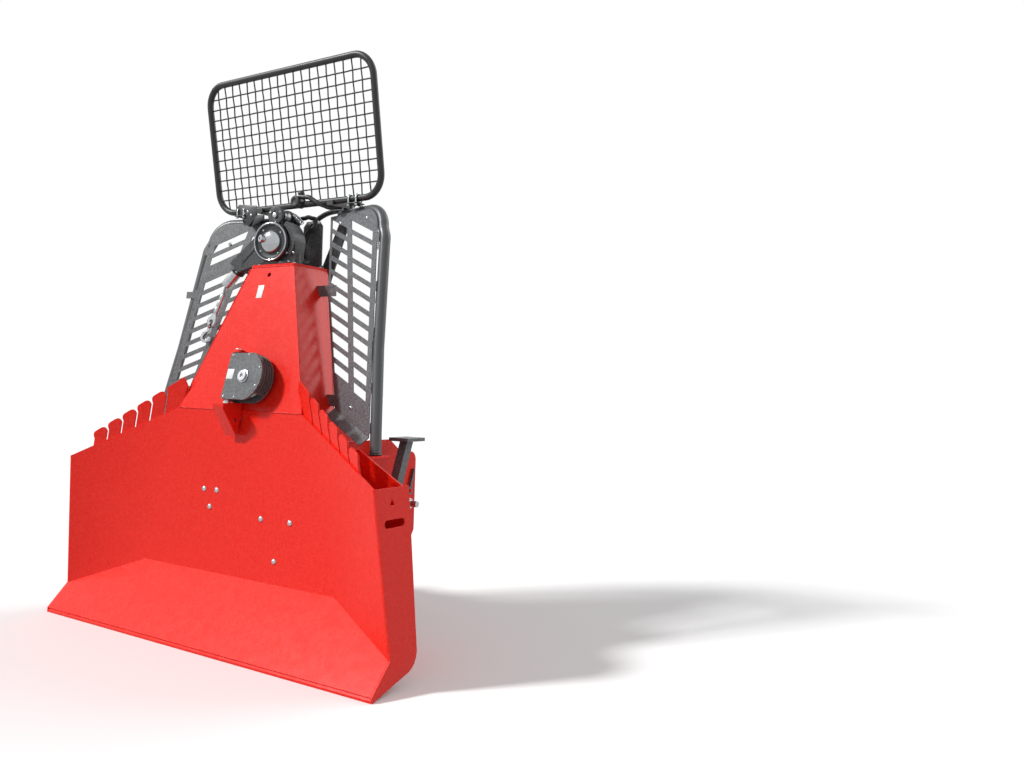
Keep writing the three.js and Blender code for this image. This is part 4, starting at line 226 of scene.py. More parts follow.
def plain_metal(name, low, high, cloud_mm, rough, stretch=(1, 1, 1), scratch_mm=0.0):
    """Bare or plated metal: cloudy tone, and gloss and fine marks along the tool's path."""
    material, tree = new_tree(name)
    place = add_node(tree, "ShaderNodeTexCoord", {}, {}).outputs["Object"]
    cloud = add_node(
        tree,
        "ShaderNodeTexNoise",
        {},
        {"Vector": place, "Scale": 1 / (cloud_mm * MM), "Detail": 4.0, "Roughness": 0.6},
    )
    tone = add_node(
        tree,
        "ShaderNodeMix",
        {"data_type": "RGBA"},
        {"Factor_Float": cloud.outputs["Fac"], "A_Color": linear(low), "B_Color": linear(high)},
    )
    drawn = add_node(tree, "ShaderNodeMapping", {}, {"Vector": place, "Scale": stretch})
    marks = add_node(
        tree,
        "ShaderNodeTexNoise",
        {},
        {
            "Vector": drawn.outputs["Vector"],
            "Scale": 1 / (MARK_MM * MM),
            "Detail": 5.0,
            "Roughness": 0.7,
        },
    )
    gloss = add_node(
        tree,
        "ShaderNodeMapRange",
        {},
        {
            "Value": marks.outputs["Fac"],
            "From Min": 0.3,
            "From Max": 0.7,
            "To Min": rough[0],
            "To Max": rough[1],
        },
    )
    relief = add_node(
        tree,
        "ShaderNodeBump",
        {},
        {"Height": marks.outputs["Fac"], "Distance": scratch_mm * MM, "Strength": 1.0},
    )
    shader = add_node(
        tree,
        "ShaderNodeBsdfPrincipled",
        {},
        {
            "Base Color": tone.outputs[2],
            "Roughness": gloss.outputs["Result"],
            "Normal": relief.outputs["Normal"],
            "Metallic": 1.0,
        },
    )
    add_node(tree, "ShaderNodeOutputMaterial", {}, {"Surface": shader.outputs["BSDF"]})
    return material


# Red two-pack enamel sprayed on sheet steel: a clear red with a wet gloss, paler on the edges,
# partly where it thins and partly as a painted highlight of the folds. Its orange peel is under 1
# mm in the real coat, and is drawn at 3 mm to show.
RED_ENAMEL = painted(
    "red_enamel", "#E11205", "#E81709", "#F5402F", 0.5, (0.24, 0.3), 3, 0.018, specular=0.25
)
# Grey powder coat on the shields and legs: a satin grey. Its texture is under 1 mm in the real
# coat, and is drawn at 2.4 mm to show.
GREY_POWDER = painted(
    "grey_powder_coat", "#47494C", "#515457", "#85888B", 0.6, (0.32, 0.42), 2.4, 0.008
)
# Black powder coat on the net and its brackets: near black, satin, with a little dust.
BLACK_POWDER = painted(
    "black_powder_coat", "#18191B", "#232426", "#4A4B4D", 0.5, (0.34, 0.48), 1.8, 0.016
)
# Charcoal enamel on the lower pulley's covers: smoother than powder coat, lighter than the net.
CHARCOAL_ENAMEL = painted(
    "charcoal_enamel", "#414446", "#4C4F51", "#7C7F81", 0.6, (0.26, 0.38), 2.4, 0.012
)
# Black paint over sand-cast iron: matt hollows and rubbed high spots, from sand in the mould.
CAST_IRON_PAINT = painted(
    "cast_iron_paint", "#1E2022", "#2C2E30", "#55575A", 0.7, (0.34, 0.52), 4, 0.16
)
# Black polyethylene, moulded: matt with a soft sheen and a slightly wavy skin.
GUARD_PLASTIC = painted(
    "moulded_polyethylene", "#161718", "#1F2021", "#2A2B2C", 0.3, (0.42, 0.58), 6, 0.05
)
# Black rubber over wire braid, the skin of a hydraulic hose: dull, with a fine weave under it.
HOSE_RUBBER = painted("hose_rubber", "#141516", "#1C1D1E", "#262728", 0.3, (0.5, 0.68), 2, 0.1)
# Off-white vinyl film of a blank plate: flat and barely glossy.
BLANK_VINYL = painted("blank_vinyl", "#D9DBDC", "#E4E6E6", "#F2F2F2", 0.3, (0.35, 0.45), 8, 0.01)
# Zinc plating on turned parts and bolts: silver with a cloudy, faintly blue sheen.
ZINC_PLATING = plain_metal("zinc_plating", "#9DA1A4", "#CDD0D2", 16, (0.22, 0.4), scratch_mm=0.01)
# Chrome plating on the hub's cap: mirror bright, faintly smeared by handling.
CHROME = plain_metal("polished_chrome", "#9DA1A4", "#B9BCBF", 40, (0.1, 0.24))
# Machined steel, dulled where rope and soil rub: grey, brushed along the tool's path.
WORN_STEEL = plain_metal("worn_steel", "#6F7173", "#A2A4A6", 26, (0.3, 0.52), (1, 1, 8), 0.03)
# Drawn steel wires of the rope, oiled: bright and dark grey in fine clouds of tone, about 2 mm
# across.
ROPE_STEEL = plain_metal(
    "drawn_rope_wire", "#5E6062", "#B2B4B6", 2.2, (0.3, 0.5), (1, 1, 3), 0.08
)

FINISHES = {
    "painted_red": RED_ENAMEL,
    "painted_grey": GREY_POWDER,
    "painted_black": BLACK_POWDER,
    "zinc_plated": ZINC_PLATING,
    "bare_steel": WORN_STEEL,
    "cast_grey": CAST_IRON_PAINT,
    "wire_rope": ROPE_STEEL,
    "guard_plastic": GUARD_PLASTIC,
}
NODE_FINISH = {"pulley_block": CHARCOAL_ENAMEL, "cutting_edge": RED_ENAMEL}
SLOT_OF = {part["node"]: part["material_slot"] for part in frame["record"]["subparts"]}
BODY_OF = {
    node: body
    for body, members in frame["record"]["behaviour"]["bodies"].items()
    for node in members
}


# Making pieces

SMOOTH_BELOW = 38  # degrees between faces that are still shaded as one
EASED_ABOVE = 32  # degrees at an edge that gets rounded
TURNED_SMOOTH = 30
COIL_STEPS = 12  # points to a turn of a spring


def placed(place, axis):
    """Turns a shape drawn in millimetres from its own Z to an axis, and puts it at a point."""
    turn = Vector(axis).to_track_quat("Z", "Y").to_matrix().to_4x4()
    return Matrix.Translation(place) @ turn @ Matrix.Scale(MM, 4)


def frame_of(place, across, up):
    """A frame in millimetres, whose X and Y run along two directions."""
    across, up = Vector(across).normalized(), Vector(up).normalized()
    turn = Matrix((across, up, across.cross(up))).transposed().to_4x4()
    return Matrix.Translation(place) @ turn @ Matrix.Scale(MM, 4)


def link_piece(name, data, body, slot, material=None):
    """Puts a mesh or curve in the scene, on its body, with its slot's finish or one of its own."""
    piece = bpy.data.objects.new(name, data)
    bpy.context.scene.collection.objects.link(piece)
    data.materials.clear()
    data.materials.append(material or FINISHES[slot])
    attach(piece, body)
    return piece


def finish_piece(name, shape, body, slot, material=None, angle=SMOOTH_BELOW):
    """A shape drawn in bmesh as a finished piece on its body."""
    bmesh.ops.recalc_face_normals(shape, faces=shape.faces)
    mesh = bpy.data.meshes.new(name)
    shape.to_mesh(mesh)
    shape.free()
    mesh.polygons.foreach_set("use_smooth", [True] * len(mesh.polygons))
    mesh.set_sharp_from_angle(angle=math.radians(angle))
    return link_piece(name, mesh, body, slot, material)


def eased_edges(shape, width_mm, angle=EASED_ABOVE):
    """Rounds the sharp edges, and marks the new faces for paler edge paint, partly worn paint and
    partly a painted highlight.
    """
    inner = [edge for edge in shape.edges if len(edge.link_faces) == 2]
    rounded = bmesh.ops.bevel(
        shape,
        geom=[edge for edge in inner if edge.calc_face_angle(0) > math.radians(angle)],
        offset=width_mm * MM,
        offset_type="OFFSET",
        segments=2,
        profile=0.5,
        affect="EDGES",
        clamp_overlap=True,
        material=-1,
    )
    layer = shape.loops.layers.float_color.new("edge_wear_and_highlight")
    for face in rounded["faces"]:
        for loop in face.loops:
            loop[layer] = (1, 1, 1, 1)


def dress(node, edge_mm=1.2):
    """The node's own solid with flat faces made whole, edges eased and rounds shaded smooth."""
    shape = bmesh.new()
    shape.from_mesh(nodes[node].data)
    bmesh.ops.remove_doubles(shape, verts=shape.verts, dist=0.00002)
    bmesh.ops.dissolve_limit(
        shape, angle_limit=math.radians(0.6), verts=shape.verts, edges=shape.edges
    )
    if edge_mm:
        eased_edges(shape, edge_mm)
    piece = finish_piece(
        node + "_finished", shape, BODY_OF[node], SLOT_OF[node], NODE_FINISH.get(node)
    )
    weighted = piece.modifiers.new("even_shading", "WEIGHTED_NORMAL")
    weighted.keep_sharp = True
    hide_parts(node)
    return piece


def add_part(shape, part):
    """Adds one bmesh to another."""
    mesh = bpy.data.meshes.new("part")
    part.to_mesh(mesh)
    part.free()
    shape.from_mesh(mesh)
    bpy.data.meshes.remove(mesh)


def add_turned(shape, profile, place, axis, sides=40):
    """Spins a line of (radius, height) points about an axis and adds it to a shape."""
    part = bmesh.new()
    line = [part.verts.new((radius, 0, height)) for radius, height in profile]
    edges = [part.edges.new(pair) for pair in zip(line, line[1:])]
    bmesh.ops.spin(
        part,
        geom=line + edges,
        cent=(0, 0, 0),
        axis=(0, 0, 1),
        angle=math.tau,
        steps=sides,
        use_merge=True,
    )
    bmesh.ops.remove_doubles(part, verts=part.verts, dist=0.001)
    bmesh.ops.transform(part, matrix=placed(place, axis), verts=part.verts)
    add_part(shape, part)


def turned_piece(name, profile, place, axis, body, slot, material=None, sides=48):
    shape = bmesh.new()
    add_turned(shape, profile, place, axis, sides)
    return finish_piece(name, shape, body, slot, material, TURNED_SMOOTH)


def add_bolt(shape, place, axis, size=8):
    """A hexagon head of a thread size, over its washer."""
    washer = size * 0.16
    rim = size * 1.05
    add_turned(shape, [(0, 0), (rim, 0), (rim, washer), (0, washer)], place, axis, sides=20)
    top = washer + size * 0.65
    corner = size * 0.94
    head = [(0, washer), (corner, washer), (corner, top - 1), (size * 0.8, top), (0, top)]
    add_turned(shape, head, place, axis, sides=6)


def add_button(shape, place, axis, radius=11, height=5):
    """A low domed head with a dished socket."""
    profile = [
        (0, height * 0.55),
        (radius * 0.3, height * 0.55),
        (radius * 0.34, height),
        (radius * 0.7, height * 0.86),
        (radius * 0.94, height * 0.45),
        (radius, 0),
        (0, 0),
    ]
    add_turned(shape, profile, place, axis, sides=24)


def add_plate(shape, outline, thick, frame_matrix):
    """A flat outline in millimetres, drawn out to its thickness and put in a frame."""
    part = bmesh.new()
    face = part.faces.new([part.verts.new((x, y, 0)) for x, y in outline])
    drawn = bmesh.ops.extrude_face_region(part, geom=[face])
    risen = [item for item in drawn["geom"] if isinstance(item, bmesh.types.BMVert)]
    bmesh.ops.translate(part, vec=(0, 0, thick), verts=risen)
    bmesh.ops.transform(part, matrix=frame_matrix, verts=part.verts)
    add_part(shape, part)


def smooth_line(points, gap_mm=60, step_mm=8):
    """A smooth line through the points, with long straights kept straight."""
    spaced = [Vector(points[0])]
    for end in points[1:]:
        start = spaced[-1]
        parts = max(1, math.ceil((Vector(end) - start).length / (gap_mm * MM)))
        spaced += [start.lerp(Vector(end), i / parts) for i in range(1, parts + 1)]
    ends = [spaced[0] * 2 - spaced[1]] + spaced + [spaced[-1] * 2 - spaced[-2]]
    line = []
    for a, b, c, d in zip(ends, ends[1:], ends[2:], ends[3:]):
        steps = max(1, round((c - b).length / (step_mm * MM)))
        for i in range(steps):
            t = i / steps
            bend = (a * 2 - b * 5 + c * 4 - d) * t**2 + (b * 3 - a - c * 3 + d) * t**3
            line.append((b * 2 + (c - a) * t + bend) * 0.5)
    return line + [spaced[-1]]


def tube_piece(name, lines, radius_mm, body, slot, material=None, closed=False, ripple=0.0, fine=4):
    """A round bar, tube, hose or weld bead along one line or several."""
    curve = bpy.data.curves.new(name, "CURVE")
    curve.dimensions = "3D"
    curve.bevel_depth = radius_mm * MM
    curve.bevel_resolution = fine
    curve.use_fill_caps = True
    for line in lines:
        spline = curve.splines.new("POLY")
        spline.points.add(len(line) - 1)
        for i, (point, place) in enumerate(zip(spline.points, line)):
            point.co = (*place, 1)
            point.radius = 1 + ripple * math.sin(i * 1.9)
        spline.use_cyclic_u = closed
        spline.use_smooth = True
    return link_piece(name, curve, body, slot, material)


def arc_points(centre, across, up, radius_mm, start, end, step=10):
    """Points round an arc in the plane of two directions, from one angle to another in degrees."""
    count = max(2, round(abs(end - start) / step))
    angles = [math.radians(start + (end - start) * i / count) for i in range(count + 1)]
    return [centre + (across * math.cos(a) + up * math.sin(a)) * radius_mm * MM for a in angles]


def coil_points(start, end, turns, radius_mm):
    """Points along an even coil from one point to another."""
    ahead = (end - start).normalized()
    side = ahead.orthogonal().normalized()
    up = ahead.cross(side)
    count = turns * COIL_STEPS
    line = []
    for i in range(count + 1):
        turn = i * math.tau / COIL_STEPS
        out = side * math.cos(turn) + up * math.sin(turn)
        line.append(start.lerp(end, i / count) + out * radius_mm * MM)
    return line


def ring_spots(angles, radius_mm, middle=(0, 0)):
    """Spots in millimetres at angles in degrees, on a circle round a middle."""
    turns = [math.radians(angle) for angle in angles]
    x, y = middle
    return [(x + radius_mm * math.cos(turn), y + radius_mm * math.sin(turn)) for turn in turns]


# Frames of the parts that don't lie square

HEAD_AT = Vector((0, 282, 1657.6))
HEAD_TURN = math.radians(190)
HEAD_U = Vector((math.cos(HEAD_TURN), math.sin(HEAD_TURN), 0))  # towards the rope outlet
HEAD_V = Vector((-HEAD_U.y, HEAD_U.x, 0))  # along the sheave's axle, towards the load
SHEAVE = (70, 112)
FEED = (54, 234.96)
ROPE_DIR = (0.69466, -0.71934)
SWING = (353.91, -72.59)

SHIELD_YAW, SHIELD_LEAN = math.radians(13.85), math.radians(8.3)
SHIELD_FOOT = Vector((401.7, 176.1, 971.8))
SHIELD_U = Vector((math.cos(SHIELD_YAW), -math.sin(SHIELD_YAW), 0))
SHIELD_FACING = Vector((-math.sin(SHIELD_YAW), -math.cos(SHIELD_YAW), 0))
SHIELD_N = SHIELD_FACING * math.cos(SHIELD_LEAN) + Z_UP * math.sin(SHIELD_LEAN)
SHIELD_W = SHIELD_N.cross(SHIELD_U)

NET_FOOT = Vector((0, 312, 1952))
NET_LEAN = math.radians(9.7)
NET_UP = Vector((0, -math.sin(NET_LEAN), math.cos(NET_LEAN)))
NET_OUT = Vector((0, -math.cos(NET_LEAN), -math.sin(NET_LEAN)))
NET_HALF, NET_TALL, NET_CORNER, NET_TUBE = 520, 607, 100, 15

FACE_AT = Vector((0, 34.57, 1121))
FACE_OUT = Vector((0, -0.96592, 0.25885))
FACE_UP = Vector((0, 0.25885, 0.96592))


def head_point(u, v, w):
    return metres(*(HEAD_AT + HEAD_U * u + HEAD_V * v + Z_UP * w))


def shield_point(side, u, w, n=0):
    point = SHIELD_FOOT + SHIELD_U * u + SHIELD_W * w + SHIELD_N * n
    return metres(side * point.x, point.y, point.z)


def net_point(x, high, out=0):
    return metres(*(NET_FOOT + X_RIGHT * x + NET_UP * high + NET_OUT * out))


def face_point(x, out, up):
    return metres(*(FACE_AT + X_RIGHT * x + FACE_OUT * out + FACE_UP * up))


# Rope end: the first centimetres of free rope, from the outlet nozzle into its pressed ferrule

ROPE_RADIUS = 6
ROPE_LAY = 84
STRAND_DEPTH = 0.13  # how deep the grooves between its six strands are, as a share of the radius
ROPE_IN_FERRULE = 28
HANG = (HEAD_U * 0.37 + HEAD_V * 0.08 - Z_UP * 0.925).normalized()
HANG_AT = head_point(SWING[0] + 23, 0, SWING[1] - 50)
FERRULE_END = 100
FERRULE_BODY, FERRULE_GROOVE = 12.8, 12.3
EYE_MIDDLE, EYE_RADIUS = 144.3, 24


def rope_line():
    corners = [
        head_point(SWING[0], 0, SWING[1]),
        head_point(SWING[0] + 12 * ROPE_DIR[0], 0, SWING[1] + 12 * ROPE_DIR[1]),
        head_point(SWING[0] + 17, 0, SWING[1] - 27),
        HANG_AT,
        HANG_AT + HANG * ROPE_IN_FERRULE * MM,
    ]
    return smooth_line(corners, gap_mm=40, step_mm=2)


def stranded_rope(name, line, radius_mm, lay_mm, body, slot):
    """A rope of six strands: a ring with six lobes, drawn along the line and turned as it goes."""
    shape = bmesh.new()
    ring = bmesh.ops.create_circle(shape, segments=36, radius=radius_mm * MM)["verts"]
    for vert in ring:
        vert.co *= 1 - STRAND_DEPTH * abs(math.sin(3 * math.atan2(vert.co.y, vert.co.x)))
    flat = [vert.co.copy() for vert in ring]
    edges = list(shape.edges)
    travelled = 0.0
    across = Z_UP
    for i, place in enumerate(line):
        ahead = (line[min(i + 1, len(line) - 1)] - line[max(i - 1, 0)]).normalized()
        across = (across - ahead * across.dot(ahead)).normalized()
        if i:
            travelled += (place - line[i - 1]).length
            drawn = bmesh.ops.extrude_edge_only(shape, edges=edges)["geom"]
            ring = [part for part in drawn if isinstance(part, bmesh.types.BMVert)]
            edges = [part for part in drawn if isinstance(part, bmesh.types.BMEdge)]
            edges = [edge for edge in edges if all(vert in ring for vert in edge.verts)]
        turn = Matrix.Rotation(math.tau * travelled / (lay_mm * MM), 3, "Z")
        stand = Matrix((across, ahead.cross(across), ahead)).transposed()
        for vert, start in zip(ring, flat):
            vert.co = place + stand @ (turn @ start)
    bmesh.ops.holes_fill(shape, edges=shape.edges, sides=60)
    return finish_piece(name, shape, body, slot, angle=60)


def make_rope_fittings():
    """The pressed ferrule, the rope's eye and the thimble in it, and the hook."""
    ferrule = [(6.2, 1), (9, 1), (11.4, 2.6), (FERRULE_BODY, 6)]
    for groove in (30, 66):
        ferrule += [
            (FERRULE_BODY, groove),
            (FERRULE_GROOVE, groove + 1),
            (FERRULE_GROOVE, groove + 4),
            (FERRULE_BODY, groove + 5),
        ]
    ferrule += [(FERRULE_BODY, 92), (11.6, 97), (8.6, FERRULE_END), (0, FERRULE_END)]
    piece = turned_piece(
        "rope_ferrule_pressed", ferrule, HANG_AT, HANG, "rope_tail", "zinc_plated", sides=40
    )
    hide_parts("rope_ferrule")
    side = HEAD_V.cross(HANG).normalized()
    start = HANG_AT + HANG * (FERRULE_END - 3) * MM
    eye = HANG_AT + HANG * EYE_MIDDLE * MM
    loop = arc_points(eye, side, HANG, EYE_RADIUS, -28, 200, step=12)
    loop = [start + side * 4 * MM] + loop + [start - side * 4 * MM]
    loop = smooth_line(loop, gap_mm=30, step_mm=4)
    strand = tube_piece("rope_eye_loop", [loop], 5.6, "rope_tail", "wire_rope", ripple=0.1)
    dress("end_hook", 3)
    return [piece, strand, dress("rope_thimble", 2.5)]


rope_path = rope_line()
rope_tail = stranded_rope(
    "rope_end_strands", rope_path, ROPE_RADIUS, ROPE_LAY, "rope_tail", "wire_rope"
)
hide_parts("rope_end")
make_rope_fittings()


# CAD solids with their edges eased

EDGE_MM = {
    "head_housing": 3.5,
    "outlet_arm": 3,
    "feed_motor": 2,
    "feed_plate": 2,
    "valve_block": 2,
    "oil_tank": 5,
    "pulley_block": 1.6,
    "rear_bearing": 2,
    "gear_wheel": 0.8,
    "drive_pinion": 0.8,
    "drum_rope": 0,
    "lock_lever_right": 1.5,
    "lock_lever_left": 1.5,
}
MADE_APART = {
    "rope_end",
    "rope_ferrule",
    "rope_thimble",
    "end_hook",
    "net_frame",
    "net_mesh",
    "shield_tube_right",
    "shield_tube_left",
    "hub_ring",
    "hub_cap",
    "outlet_nozzle",
}


def dress_solids():
    for node in nodes:
        if node not in MADE_APART:
            dress(node, EDGE_MM.get(node, 1.2))


# Guard net

NET_COLUMNS, NET_ROWS = 20, 12
NET_INSIDE = NET_HALF - NET_TUBE
COLUMN_PITCH = 2 * NET_INSIDE / NET_COLUMNS
ROW_PITCH = (NET_TALL - 2 * NET_TUBE) / NET_ROWS
WIRE_RADIUS, WIRE_CRIMP = 3.4, 1.3
U_BOLT_RADIUS = 19
CLAMP_X, CLAMP_Z, CLAMP_THICK = 360, 1925, 12
BRACKET_Y = 297
HOSE_RADIUS, HOSE_Y = 12, 430


def corner_gap(past):
    """How far the round corner draws in, at a distance past the end of the straight run."""
    return NET_CORNER - math.sqrt(NET_CORNER**2 - max(0, past) ** 2)


def net_wire(start, end, steps, swing):
    """A wire from one (x, height) to another, crimped over and under the ones that it crosses."""
    line = []
    for k in range(steps + 1):
        x, high = (a + (b - a) * k / steps for a, b in zip(start, end))
        passed = (x + NET_INSIDE) / COLUMN_PITCH + (high - NET_TUBE) / ROW_PITCH
        line.append(net_point(x, high, swing * math.cos(math.pi * passed)))
    return line


def make_net():
    """The bent tube, the woven wires that end on its middle line, and the beads of its joints."""
    reach = NET_HALF - NET_CORNER
    low, high = NET_CORNER, NET_TALL - NET_CORNER
    corners = ((reach, low), (reach, high), (-reach, high), (-reach, low))
    loop = []
    for corner, start in zip(corners, (-90, 0, 90, 180)):
        middle = net_point(*corner)
        loop += arc_points(middle, X_RIGHT, NET_UP, NET_CORNER, start, start + 90, step=9)
    tube = tube_piece(
        "net_frame_tube", [loop], NET_TUBE, "winch_frame", "painted_black", closed=True, fine=6
    )
    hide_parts("net_frame")
    wires = []
    for i in range(1, NET_COLUMNS):
        x = i * COLUMN_PITCH - NET_INSIDE
        gap = corner_gap(abs(x) - reach)
        wires.append(net_wire((x, gap), (x, NET_TALL - gap), 4 * NET_ROWS, WIRE_CRIMP))
    for j in range(1, NET_ROWS):
        level = j * ROW_PITCH + NET_TUBE
        end = NET_HALF - corner_gap(abs(level - NET_TALL / 2) - NET_TALL / 2 + NET_CORNER)
        wires.append(net_wire((-end, level), (end, level), 4 * NET_COLUMNS, -WIRE_CRIMP))
    mesh = tube_piece("net_wires", wires, WIRE_RADIUS, "winch_frame", "painted_black", fine=1)
    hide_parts("net_mesh")
    beads = [arc_points(place, NET_OUT, NET_UP, 15.4, 0, 360, step=12) for place in loop[4::11]]
    tube_piece("net_frame_joints", beads, 1.6, "winch_frame", "painted_black", ripple=0.25, fine=1)


def make_net_clamps():
    """Two clamps that hang the net on its support, each with two U-bolts over a saddle plate."""
    plates = bmesh.new()
    nuts = bmesh.new()
    loops = []
    cheek = [(334.9, 1922.8), (366.9, 1922.8), (322, 1958), (302, 1958)]
    saddle = [(-34, -27), (34, -27), (34, 27), (-34, 27)]
    for side in (1, -1):
        inner_face = metres(side * CLAMP_X - CLAMP_THICK / 2, 0, 0)
        add_plate(plates, cheek, CLAMP_THICK, frame_of(inner_face, Y_HITCH, Z_UP))
        for x in (CLAMP_X - 22, CLAMP_X + 22):
            middle = metres(side * x, NET_FOOT.y, NET_FOOT.z)
            bend = arc_points(middle, Y_HITCH, Z_UP, U_BOLT_RADIUS, 180, 0, step=15)
            legs = [NET_FOOT.y - U_BOLT_RADIUS, NET_FOOT.y + U_BOLT_RADIUS]
            first, last = (metres(side * x, y, CLAMP_Z - 9) for y in legs)
            loops.append([first] + bend + [last])
            for y in legs:
                add_bolt(nuts, metres(side * x, y, CLAMP_Z), -Z_UP, size=7)
        seat = frame_of(metres(side * CLAMP_X, NET_FOOT.y, CLAMP_Z), X_RIGHT, Y_HITCH)
        add_plate(plates, saddle, 5, seat)
    eased_edges(plates, 1.5)
    finish_piece("net_clamp_plates", plates, "winch_frame", "painted_black")
    tube_piece("net_u_bolts", loops, 4, "winch_frame", "zinc_plated")
    finish_piece("net_u_bolt_nuts", nuts, "winch_frame", "zinc_plated")


def make_net_fittings():
    """Pivot, grip knob and strap on the net's lower tube, and the left bracket with its bolts."""
    black = bmesh.new()
    zinc = bmesh.new()
    bracket = frame_of(metres(0, BRACKET_Y, 0), X_RIGHT, Z_UP)
    upper = [(-388, 1975), (-378, 1985), (-262, 1972), (-250, 1960)]
    upper += [(-254, 1925), (-284, 1872), (-306, 1872), (-384, 1950)]
    lower = [(-306, 1872), (-284, 1872), (-204, 1900), (-204, 1925), (-250, 1925)]
    for outline in (upper, lower):
        add_plate(black, outline, -8, bracket)
    for x, z in ((-338, 1938), (-312, 1945), (-288, 1927)):
        add_button(zinc, metres(x, BRACKET_Y, z), -Y_HITCH, radius=8, height=6)
    hub = [(0, 26), (12, 26), (14, 30), (24, 30), (27, 26), (27, -20), (0, -20)]
    add_turned(black, hub, metres(25, 300, 1962), -Y_HITCH, sides=32)
    knob = [(0, 30), (8, 29), (14, 24), (16, 16), (14, 8), (7, 3), (7, -6), (0, -6)]
    add_turned(black, knob, metres(45, 300, 1985), (0.1, -0.5, 1), sides=28)
    eased_edges(black, 1.2)
    finish_piece("net_pivot_fittings", black, "winch_frame", "painted_black")
    finish_piece("net_bracket_bolts", zinc, "winch_frame", "zinc_plated")
    route = [(44, 286, 1984), (100, 290, 1976), (150, 300, 1946)]
    route += [(190, 330, 1930), (224, 372, 1938)]
    strap = smooth_line([metres(*spot) for spot in route], gap_mm=40)
    tube_piece("net_strap_arm", [strap], 11, "winch_frame", "painted_black")


def make_net_hose():
    """The hose that climbs beside the net's support, with a pressed sleeve at each end."""
    route = [
        (64, 428, 1668),
        (20, 440, 1672),
        (-52, 446, 1702),
        (-90, 448, 1770),
        (-72, 446, 1838),
        (-8, 440, 1896),
        (70, 434, 1928),
        (150, HOSE_Y, 1936),
        (214, HOSE_Y, 1930),
    ]
    hose = smooth_line([metres(*spot) for spot in route], gap_mm=90)
    tube_piece("net_side_hose", [hose], HOSE_RADIUS, "winch_frame", "painted_black", HOSE_RUBBER)
    ends = bmesh.new()
    sleeve = [(0, 0), (15, 0), (15, 8), (14, 9), (14, 26), (15, 27), (15, 34), (0, 34)]
    add_turned(ends, sleeve, metres(205, HOSE_Y, 1931), X_RIGHT, sides=24)
    add_turned(ends, sleeve, metres(58, HOSE_Y, 1668), (1, -0.2, 0), sides=24)
    finish_piece("net_hose_ends", ends, "winch_frame", "zinc_plated")


def make_back_plate():
    """A grey plate behind the net's support, with its lifting hole ringed by a turned bush."""
    shape = bmesh.new()
    sheet = frame_of(metres(0, 421.4, 0), X_RIGHT, Z_UP)
    outline = [(-62, 1585), (62, 1585), (62, 1872), (40, 1898), (-40, 1898), (-62, 1872)]
    add_plate(shape, outline, -6, sheet)
    eased_edges(shape, 1.5)
    finish_piece("support_back_plate", shape, "winch_frame", "painted_grey")
    fixings = bmesh.new()
    for x in (-45, 45):
        for z in (1600, 1636):
            add_bolt(fixings, metres(x, 427.6, z), Y_HITCH)
            add_bolt(fixings, metres(x, 410.6, z), -Y_HITCH)
    bush = [(13, -8), (18, -8), (18, 8), (13, 8), (13, -8)]
    add_turned(fixings, bush, metres(0, 424, 1868), Y_HITCH, sides=32)
    finish_piece("support_plate_bolts", fixings, "winch_frame", "zinc_plated")


# Shields

SHIELD_TUBE = 24
TUBE_BEHIND = -24.3  # the tube's middle, from the panel's back face
TUBE_BEND = 110
SHIELD_WELDS = ((118, 128, 800, 740), (165, 172, 560, 500), (203, 210, 330, 272))
SHIELD_SPOTS = {
    "right": ((-203, 575), (-12, 79), (-186, 892), (20, 892), (-150, 95), (120, 52)),
    "left": ((-6, 829), (-12, 79), (-186, 892), (-150, 95), (120, 52), (-203, 575)),
}
SIDES = {"right": 1, "left": -1}


def make_shield_tubes():
    corner = ring_spots(range(90, 9, -10), TUBE_BEND, (5, 828))
    route = [(-232, 940), (-100, 939)] + corner + [(137, 801), (212, 312), (300.5, -128)]
    for name, side in SIDES.items():
        line = [shield_point(side, u, w, TUBE_BEHIND) for u, w in route]
        line = smooth_line(line, gap_mm=45, step_mm=10)
        tube = tube_piece(
            "shield_bent_tube_" + name, [line], SHIELD_TUBE, "winch_frame", "painted_grey", fine=8
        )
        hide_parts("shield_tube_" + name)
        beads = [arc_points(line[-1], X_RIGHT, Y_HITCH, SHIELD_TUBE + 1, 0, 360)]
        for u0, u1, w0, w1 in SHIELD_WELDS:
            run = [shield_point(side, u0, w0, -3), shield_point(side, u1, w1, -3)]
            beads.append(smooth_line(run, step_mm=3))
        welds = "shield_tube_welds_" + name
        tube_piece(welds, beads, 2.6, "winch_frame", "painted_grey", ripple=0.22, fine=2)
        turned_piece(
            "shield_tube_plug_" + name,
            [(0, 3), (9, 3), (12, 1.5), (22, 1.5), (23.5, 0), (23.5, -4), (0, -4)],
            line[0],
            line[0] - line[1],
            "winch_frame",
            "guard_plastic",
            sides=32,
        )


def make_shield_bolts():
    for name, side in SIDES.items():
        shape = bmesh.new()
        out = Vector((side * SHIELD_N.x, SHIELD_N.y, SHIELD_N.z))
        for u, w in SHIELD_SPOTS[name]:
            add_button(shape, shield_point(side, u, w, 4), out, radius=9, height=6)
            add_bolt(shape, shield_point(side, u, w), -out, size=7)
        finish_piece("shield_bolts_" + name, shape, "winch_frame", "zinc_plated")


# Upper pulley head

LIP_SCREWS = 68  # radius of the circle of screws in the hub's ring
LUG_CIRCLE = 74
FEED_SCREWS = 30
BASE_BOLTS = 50
DOME_SPOUT = (HEAD_V * 0.86 + HEAD_U * 0.46 + Z_UP * 0.12).normalized()
MOTOR_V, MOTOR_PORTS_W = -102.3, 195
HOSE_TUBE = 10.5


